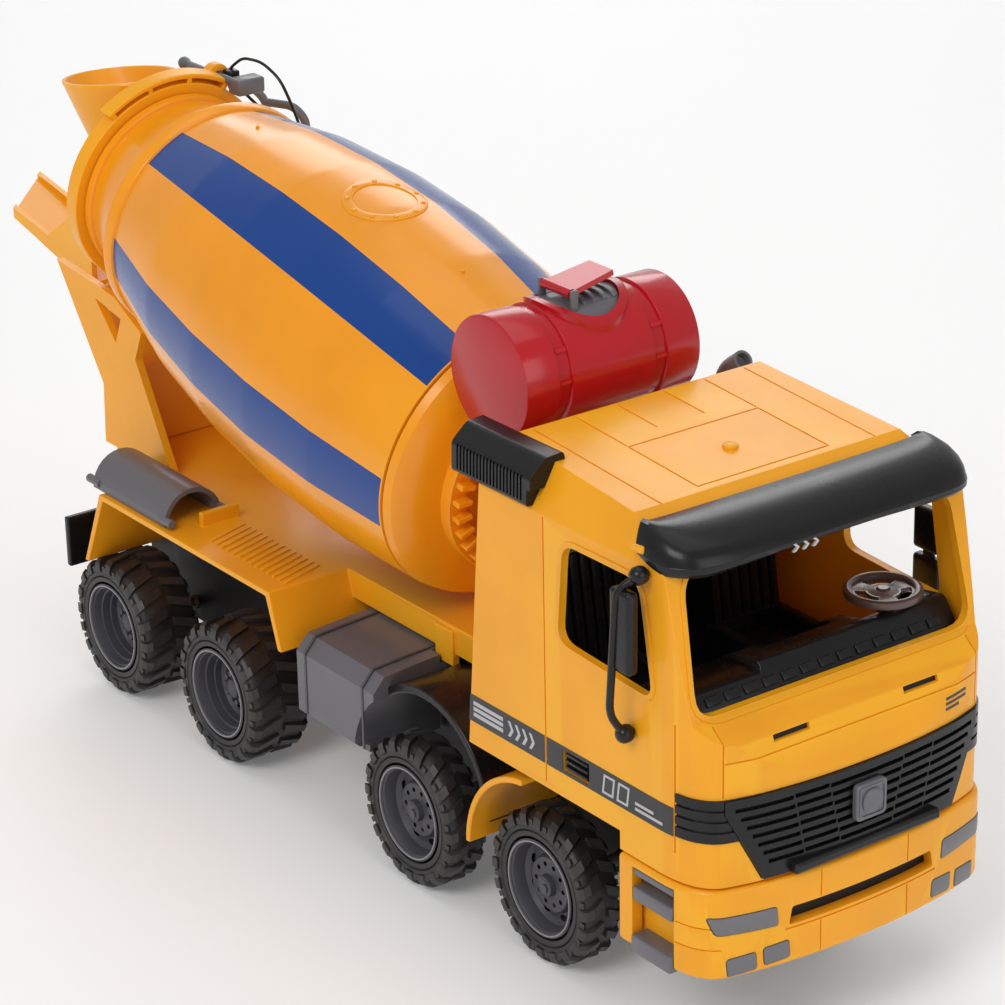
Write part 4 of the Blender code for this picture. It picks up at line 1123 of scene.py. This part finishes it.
LAMPS = (
    ("head", [(28, 40.4), (45.6, 41.2), (47.4, 46.6), (28.6, 46.2)]),
    ("fog_in", [(24.4, 30.2), (32.4, 29.8), (32.8, 35.2), (24.8, 35.6)]),
    ("fog_out", [(34.2, 29.4), (42.6, 28.8), (43, 34.2), (34.6, 34.8)]),
)
BUMPER_HALF = CAB_HALF + 0.8
LENS = plastic("lens_grey", (0.16, 0.155, 0.165), 0.35, slot="grey_plastic")


def bumper_prism(name, shrink, back_x=262, low=20, high=60):
    return prism(name, inset(front_plan(back_x, BUMPER_HALF, 1), shrink), "xy", (low + high) / 2, high - low)


def build_bumper():
    bumper = bumper_prism("front_bumper_fine", 0, 262, 28.3, 53.7)
    soft(bumper, 1.3, 3, 40)
    cut(bumper, bumper_prism("room", 3.2, 240))
    slot = rounded([(-25, 39.7), (25, 39.7), (24, 44.8), (-24, 44.8)], 0.8)
    cut(bumper, prism("slot", slot, "yz", 300, 20))
    for side, sign in SIDES:
        for name, outline in LAMPS:
            window = rounded(flipped(outline, sign), 1.2)
            cut(bumper, prism("window", window, "yz", 298, 26))
        cut(bumper, box("step_pocket", (268, 284.5), flank(sign, 40, 60), (24, 52)))
    lines = [box("seam", (296, 306), (y - 0.25, y + 0.25), (45.2, 54.5)) for y in (-15, 15)]
    lines += [box("seam", (296, 306), (y - 0.25, y + 0.25), (27, 38.2)) for y in (-15, 15)]
    lines.append(box("crease", (288, 306), (-26, 26), (38.4, 38.9)))
    for side, sign in SIDES:
        for z in (36.9, 43):
            lines.append(box("side_line", (284.9, 296), flank(sign, 44, 54), (z, z + 0.4)))
    groove(bumper, lines, 0.4, lambda depth: bumper_prism("inner", depth, 240))
    moulding(bumper, YELLOW, 0.25, "front_bumper")
    lining = bumper_prism("bumper_lining", 3.3, 262, 38.6, 46)
    cut(lining, bumper_prism("room", 4.5, 240))
    piece(keep_inside(lining, box("middle", (280, 310), (-27, 27), (38, 47))), BLACK_DULL)
    for side, sign in SIDES:
        tiles = []
        for name, outline in LAMPS:
            window = inset(rounded([(u, v) for u, v in outline], 1.2), 0.25)
            tile = prism("lamp", flipped(window, sign), "yz", 298, 26)
            keep_inside(tile, bumper_prism("face", -0.25, 250))
            cut(tile, bumper_prism("rear", 3, 240))
            tiles.append(soft(tile, 0.3, 2, 40))
        piece(merged("lamp_cluster_%s_fine" % side, tiles), LENS, "lamp_cluster_" + side)


def build_steps():
    for side, sign in SIDES:
        treads = []
        for low, high, reach in ((27.4, 32.4, 51.6), (42.4, 46.4, 51), (49.6, 51.6, 50.6)):
            depth = flank(sign, 44.6, reach)
            treads.append(soft_box("tread", (268.3, 284.2), depth, (low, high), 0.5, 3))
        piece(merged("step_treads_" + side, treads), GREY, "step_insert_" + side)
        backing = box("step_backing_" + side, (266, 287), flank(sign, 43.2, 46.2), (28.4, 53.6))
        piece(rounded_edges(backing, 0.3), YELLOW, "step_insert_" + side)


def build_arches():
    for side, sign in SIDES:
        ring = arc((221, 27), 29, 180, 96, 20) + arc((221, 27), 27.2, 96, 180, 20)
        strip = prism("front_arch_" + side, ring, "xz", sign * 33.3, 31)
        cut(strip, cab_block("cab", -0.1))
        piece(rounded_edges(strip, 0.4), YELLOW, "front_mudguard_" + side)


# ---- cab fittings


def smooth_path(points, steps):
    """A Catmull-Rom curve through the points."""
    path = [Vector(p) for p in points]
    path = [2 * path[0] - path[1]] + path + [2 * path[-1] - path[-2]]
    result = []
    for a, b, c, d in zip(path, path[1:], path[2:], path[3:]):
        for k in range(steps):
            t = k / steps
            square, cube = 2 * a - 5 * b + 4 * c - d, 3 * b - a - 3 * c + d
            result.append(0.5 * (2 * b + (c - a) * t + square * t ** 2 + cube * t ** 3))
    return result + [path[-2]]


def mirrored_path(points):
    """Right to left over a half path given from the left end to the middle."""
    return [(x, -y) for x, y in points] + [(x, y) for x, y in reversed(points[:-1])]


VISOR_OUTER = [(270, 50.9), (276.5, 51), (283.5, 48.5), (288, 42), (289.9, 26), (290.4, 0)]
VISOR_INNER = [(266.2, 44.6), (266.8, 44.4), (267.2, 43.4), (267.6, 38), (267.8, 24), (268, 0)]
VISOR_SECTION = [
    (0.05, 137.2), (0, 138.4), (0, 139.9), (0.012, 140.1), (0.05, 142.2), (0.14, 144.2), (0.3, 146.1),
    (0.52, 147.4), (0.76, 147.6), (1, 146.6),
]


def visor_point(outer, inner, share, z):
    place = outer.lerp(inner, share)
    rise = max(0, (280 - outer.x) / 10)
    crown = 2 * max(0, 1 - (outer.y / 42) ** 2)
    return at(place.x, place.y, z + (rise * 3.4 + crown) * max(0, (143 - z) / 6))


def build_visor():
    outer = smooth_path(mirrored_path(VISOR_OUTER), 6)
    inner = smooth_path(mirrored_path(VISOR_INNER), 6)
    bm = bmesh.new()
    rows = []
    for a, b in zip(outer, inner):
        rows.append([bm.verts.new(visor_point(a, b, share, z)) for share, z in VISOR_SECTION])
    for first, second in zip(rows, rows[1:]):
        for k in range(len(VISOR_SECTION) - 1):
            bm.faces.new((first[k], second[k], second[k + 1], first[k + 1]))
    visor = object_of("sun_visor_fine", bm)
    thicken = visor.modifiers.new("wall", "SOLIDIFY")
    thicken.thickness = 1.4 * MM
    thicken.offset = -1
    thicken.use_even_offset = True
    evaluated(visor)
    cut(visor, cab_block("roof", -0.05))
    piece(rounded_edges(visor, 0.25, 2, 50), BLACK, "sun_visor", sharp=30)
    chevrons = []
    for i in range(3):
        y = -17 + 3.2 * i
        outline = [(y, 138), (y + 0.9, 138), (y + 2.1, 139.1), (y + 0.9, 140.2), (y, 140.2), (y + 1.2, 139.1)]
        chevron = prism("chevron", outline, "yz", 290, 8)
        sheet = []
        for share in (-0.1, 0.6):
            plan = [(x - share, y2) for x, y2 in mirrored_path(VISOR_OUTER)]
            curve = [tuple(p) for p in smooth_path(plan, 6)]
            sheet.append([(240, plan[0][1])] + curve + [(240, plan[-1][1])])
        keep_inside(chevron, prism("face", sheet[0], "xy", 139, 10))
        chevrons.append(cut(chevron, prism("back", sheet[1], "xy", 139, 12)))
    piece(merged("visor_marks", chevrons), DECAL_WHITE)
    pegs = []
    for side, sign in SIDES:
        peg = rod("peg", (271, sign * 50.6, 141.8), (1, 0, 0.1), 1.1, 5, 0.6, 20)
        pegs.append(peg)
    piece(merged("visor_pegs", pegs), YELLOW)


def build_interior():
    parts = [
        box("floor", (206, 286.5), (-45, 45), (66.5, 69)),
        box("rear_panel", (207, 209.5), (-45, 45), (67, 128)),
    ]
    outline = [(264, 67), (286.2, 67), (286.2, 98.4), (280.4, 106), (270, 104), (264, 100)]
    dash = prism("dash", rounded(outline, 1.6), "xz", 0, 90)
    cut(dash, box("well", (258, 277), (18, 41), (92, 110)))
    cut(dash, box("well", (258, 273), (-12, 12), (94, 110)))
    low_end = [(262, 101.5), (281, 103.6), (283, 102.6), (290, 110), (262, 110)]
    cut(dash, prism("low_end", low_end, "xz", -33, 26))
    parts.append(soft(dash, 0.9, 3))
    tilt = Matrix.Rotation(math.atan2(7.6, 5.8), 4, "Y")
    for i in range(13):
        place = Matrix.Translation(at(284.3, 6.3 * (i - 6), 101.2)) @ tilt
        parts.append(soft(block("pad", place, (2.6, 4.6, 0.7)), 0.28, 3))
    for side, sign in SIDES:
        for y in (14, 36):
            across = (sign * y - 2, sign * y + 2)
            parts.append(soft_box("bolster", (221, 247), across, (69, 86), 1.2, 3))
        parts.append(soft_box("cushion", (222, 248), flank(sign, 13, 37), (68, 82), 2, 3))
        back = rounded([(215, 69), (224, 69), (225, 84), (219.6, 121), (213.4, 121)], 3)
        seat_back = prism("seat_back", back, "xz", sign * 25, 23)
        for i in range(6):
            y = sign * 25 - 8.75 + 3.5 * i
            cut(seat_back, prism("flute", [(223.4, 86), (230, 86), (226, 118), (218.8, 118)], "xz", y, 0.9))
        parts.append(soft(seat_back, 0.8, 2))
    interior = merged("cab_interior_fine", parts)
    piece(interior, BLACK, "cab_interior")


STEERING = (273.4, 29.5, 108.6)


def build_steering():
    rim = lathe("wheel_rim", [
        (1.3, 9.9), (0.9, 10.5), (0, 10.6), (-0.9, 10.4), (-1.3, 9.6), (-1.2, 8.7), (-0.4, 8.2), (0.8, 8.4),
        (1.3, 9.1)],
        64, upright(*STEERING), closed=True)
    profile = [(0.5, 0), (0.6, 2.6), (0.1, 3.8), (0.2, 8.7), (-0.8, 8.7), (-0.9, 0)]
    web = lathe("web", profile, 64, upright(*STEERING))
    for i in range(3):
        middle = 30 + 120 * i
        centre = STEERING[:2]
        kidney = arc(centre, 7.6, middle - 38, middle + 38, 12)
        kidney += arc(centre, 4.6, middle + 34, middle - 34, 12)
        cut(web, prism("opening", rounded(kidney, 0.8, 2), "xy", STEERING[2], 6))
    profile = [(1.1, 0), (1.1, 1.4), (0.7, 1.8), (-0.4, 3.4), (-2, 3.4), (-2, 1.6), (-10.6, 1.6), (-10.6, 0)]
    hub = lathe("hub", profile, 40, upright(*STEERING))
    piece(merged("steering_wheel_fine", [rim, web, hub]), BROWN, "steering_wheel", "steering_wheel")


MIRROR_TOP = (273.5, 136)
MIRROR_LOW = (267.6, 90.3)
MIRROR_BALL = [(2.2, 0), (2.1, 0.9), (1.6, 1.8), (0.7, 2.4), (-0.8, 2.5), (-1.8, 2.2), (-2.2, 1.6), (-2.2, 0)]
MIRROR_PLATES = {
    "left": (((257, 267), (54.8, 58.3), (97, 107.4)), ((257, 267), (54.8, 58.3), (109, 121.5)),
             ((260, 264), (55.6, 57.6), (106, 110.4))),
    "right": (((267.4, 275.4), (54, 57.6), (110, 132.5)),),
}


def build_mirrors():
    for side, sign in SIDES:
        near, far, root = sign * 52.9, sign * 57.5, sign * 49
        path = [
            (MIRROR_TOP[0], root, MIRROR_TOP[1]), (MIRROR_TOP[0], near, MIRROR_TOP[1]), (270.5, far, 132),
            (267.5, far, 97), (MIRROR_LOW[0], near, MIRROR_LOW[1]), (MIRROR_LOW[0], root, MIRROR_LOW[1]),
        ]
        parts = [pipe("arm", path, 1.05, 5)]
        for x, z in (MIRROR_TOP, MIRROR_LOW):
            parts.append(lathe("ball", MIRROR_BALL, 28, turn_to((0, sign, 0), x, near, z)))
        for along, depth, height in MIRROR_PLATES[side]:
            parts.append(soft_box("plate", along, flank(sign, depth[0], depth[1]), height, 1.2, 4))
        piece(merged("mirror_%s_fine" % side, parts), BLACK, "mirror_" + side)


def build_intake():
    outline = [(-40.5, 151.8), (-46.5, 151.4), (-51.6, 147), (-51.8, 138.6), (-46, 138.6), (-40, 148.6)]
    cover = prism("air_intake_fine", rounded(outline, 1.2, 4), "yz", 211, 34)
    cut(cover, cab_block("roof", -0.1))
    for i in range(20):
        x = 196.6 + 1.45 * i
        gap = [(-53, 139.9), (-51, 139.9), (-50.7, 146.4), (-53, 148.4)]
        cut(cover, prism("rib_gap", gap, "yz", x, 0.7))
    cut(cover, prism("step", [(225.8, 130), (230, 130), (230, 143.4), (226.6, 143.4)], "xz", -50, 8))
    moulding(cover, BLACK, 0.25, "air_intake")


def build_exhaust():
    x, y = 190.5, 44
    stack = pipe("stack", [(x, y, 73), (x, y, 136), (x + 2.2, y, 143.4), (x + 9, y, 148.4)], 3, 10)
    cut(stack, rod("bore", (x + 9, y, 148.4), (6.8, 0, 5), 2.2, 5, 0.1))
    foot = soft_box("foot", (x - 5.5, x + 5.5), (22.3, y + 4), (66, 74), 0.6)
    collars = [rod("collar", (x, y, z), (0, 0, 1), 3.5, 1.6) for z in (80, 128)]
    piece(merged("exhaust_stack_fine", [stack, foot] + collars), GREY, "exhaust_stack")


# ---- studio


def studio_material(name, colour, roughness, lift):
    material = bpy.data.materials.new(name)
    material.use_nodes = True
    tree = material.node_tree
    shader = tree.nodes["Principled BSDF"]
    drift = noise(tree, 3, 2)
    shade = mix_colour(tree, ramp(tree, drift.outputs["Fac"], 0.3, 0.7, 0, 1), scaled(colour, 0.99), colour)
    tree.links.new(shade, shader.inputs["Base Color"])
    shader.inputs["Roughness"].default_value = roughness
    shader.inputs["Emission Color"].default_value = (1, 1, 1, 1)
    shader.inputs["Emission Strength"].default_value = lift
    return material


def build_floor():
    half_width, front, back, rise, bend = 2.56, 2.6, -1.9, 2.4, 0.7
    profile = [(front, 0), (back + bend, 0)]
    for k in range(1, 13):
        angle = math.pi / 24 * k
        profile.append((back + bend - bend * math.sin(angle), bend - bend * math.cos(angle)))
    profile.append((back, rise))
    bm = bmesh.new()
    rows = [[bm.verts.new((u, side * half_width, v - 0.0002)) for u, v in profile] for side in (-1, 1)]
    for k in range(len(profile) - 1):
        bm.faces.new((rows[0][k], rows[0][k + 1], rows[1][k + 1], rows[1][k]))
    floor = object_of("studio_floor", bm)
    floor.rotation_euler = (0, 0, math.radians(-36.36))
    floor.data.materials.append(studio_material("studio_white", (0.96, 0.96, 0.96), 0.6, 0.1))
    floor.data.shade_smooth()


def area_light(name, place, target, size, power, colour=(1, 1, 1)):
    data = bpy.data.lights.new(name, "AREA")
    data.shape = "RECTANGLE"
    data.size, data.size_y = size
    data.energy = power
    data.color = colour
    light = bpy.data.objects.new(name, data)
    bpy.context.scene.collection.objects.link(light)
    light.location = place
    light.rotation_euler = (Vector(target) - Vector(place)).to_track_quat("-Z", "Y").to_euler()


def build_lights():
    middle = at(100, 0, 80)
    area_light("key", (0.55, -1.25, 1.25), middle, (0.9, 0.7), 10.4)
    area_light("overhead", (0, 0.1, 1.5), middle, (1.3, 1.1), 3.4)
    area_light("front_fill", (1.5, 0.15, 0.6), middle, (0.9, 0.9), 3.6)
    area_light("rear_rim", (-1.1, 0.9, 0.9), middle, (0.8, 0.6), 3.5)
    world = bpy.data.worlds.new("studio_world")
    bpy.context.scene.world = world
    world.use_nodes = True
    backdrop = world.node_tree.nodes["Background"]
    backdrop.inputs["Color"].default_value = (1, 1, 1, 1)
    backdrop.inputs["Strength"].default_value = 0.44


def build_camera():
    azimuth, elevation, roll = (math.radians(a) for a in (-36.36, 22.70, 1.13))
    back = Vector((
        math.cos(elevation) * math.cos(azimuth), math.cos(elevation) * math.sin(azimuth), math.sin(elevation),
    ))
    right = (-back).cross(Vector((0, 0, 1))).normalized()
    down = (-back).cross(right).normalized()
    turned_right = math.cos(roll) * right + math.sin(roll) * down
    turned_down = math.cos(roll) * down - math.sin(roll) * right
    data = bpy.data.cameras.new("photo_camera")
    data.lens = 125.93
    data.sensor_width = 36
    data.clip_start = 0.05
    camera = bpy.data.objects.new("photo_camera", data)
    bpy.context.scene.collection.objects.link(camera)
    columns = Matrix((turned_right, -turned_down, back)).transposed()
    camera.matrix_world = Matrix.Translation(at(891.2, -548.6, 487.3)) @ columns.to_4x4()
    bpy.context.scene.camera = camera


BUILDERS = (
    build_wheels, build_drum, build_collar, build_hopper, build_lever, build_ladder, build_cable_tie,
    build_deck, build_side_boxes, build_softened, build_tank, build_cab, build_stickers, build_grille,
    build_bumper, build_steps, build_arches, build_visor, build_interior, build_steering, build_mirrors,
    build_intake, build_exhaust, build_floor, build_lights, build_camera,
)
for build in BUILDERS:
    build()
bpy.context.scene.view_settings.view_transform = "Standard"
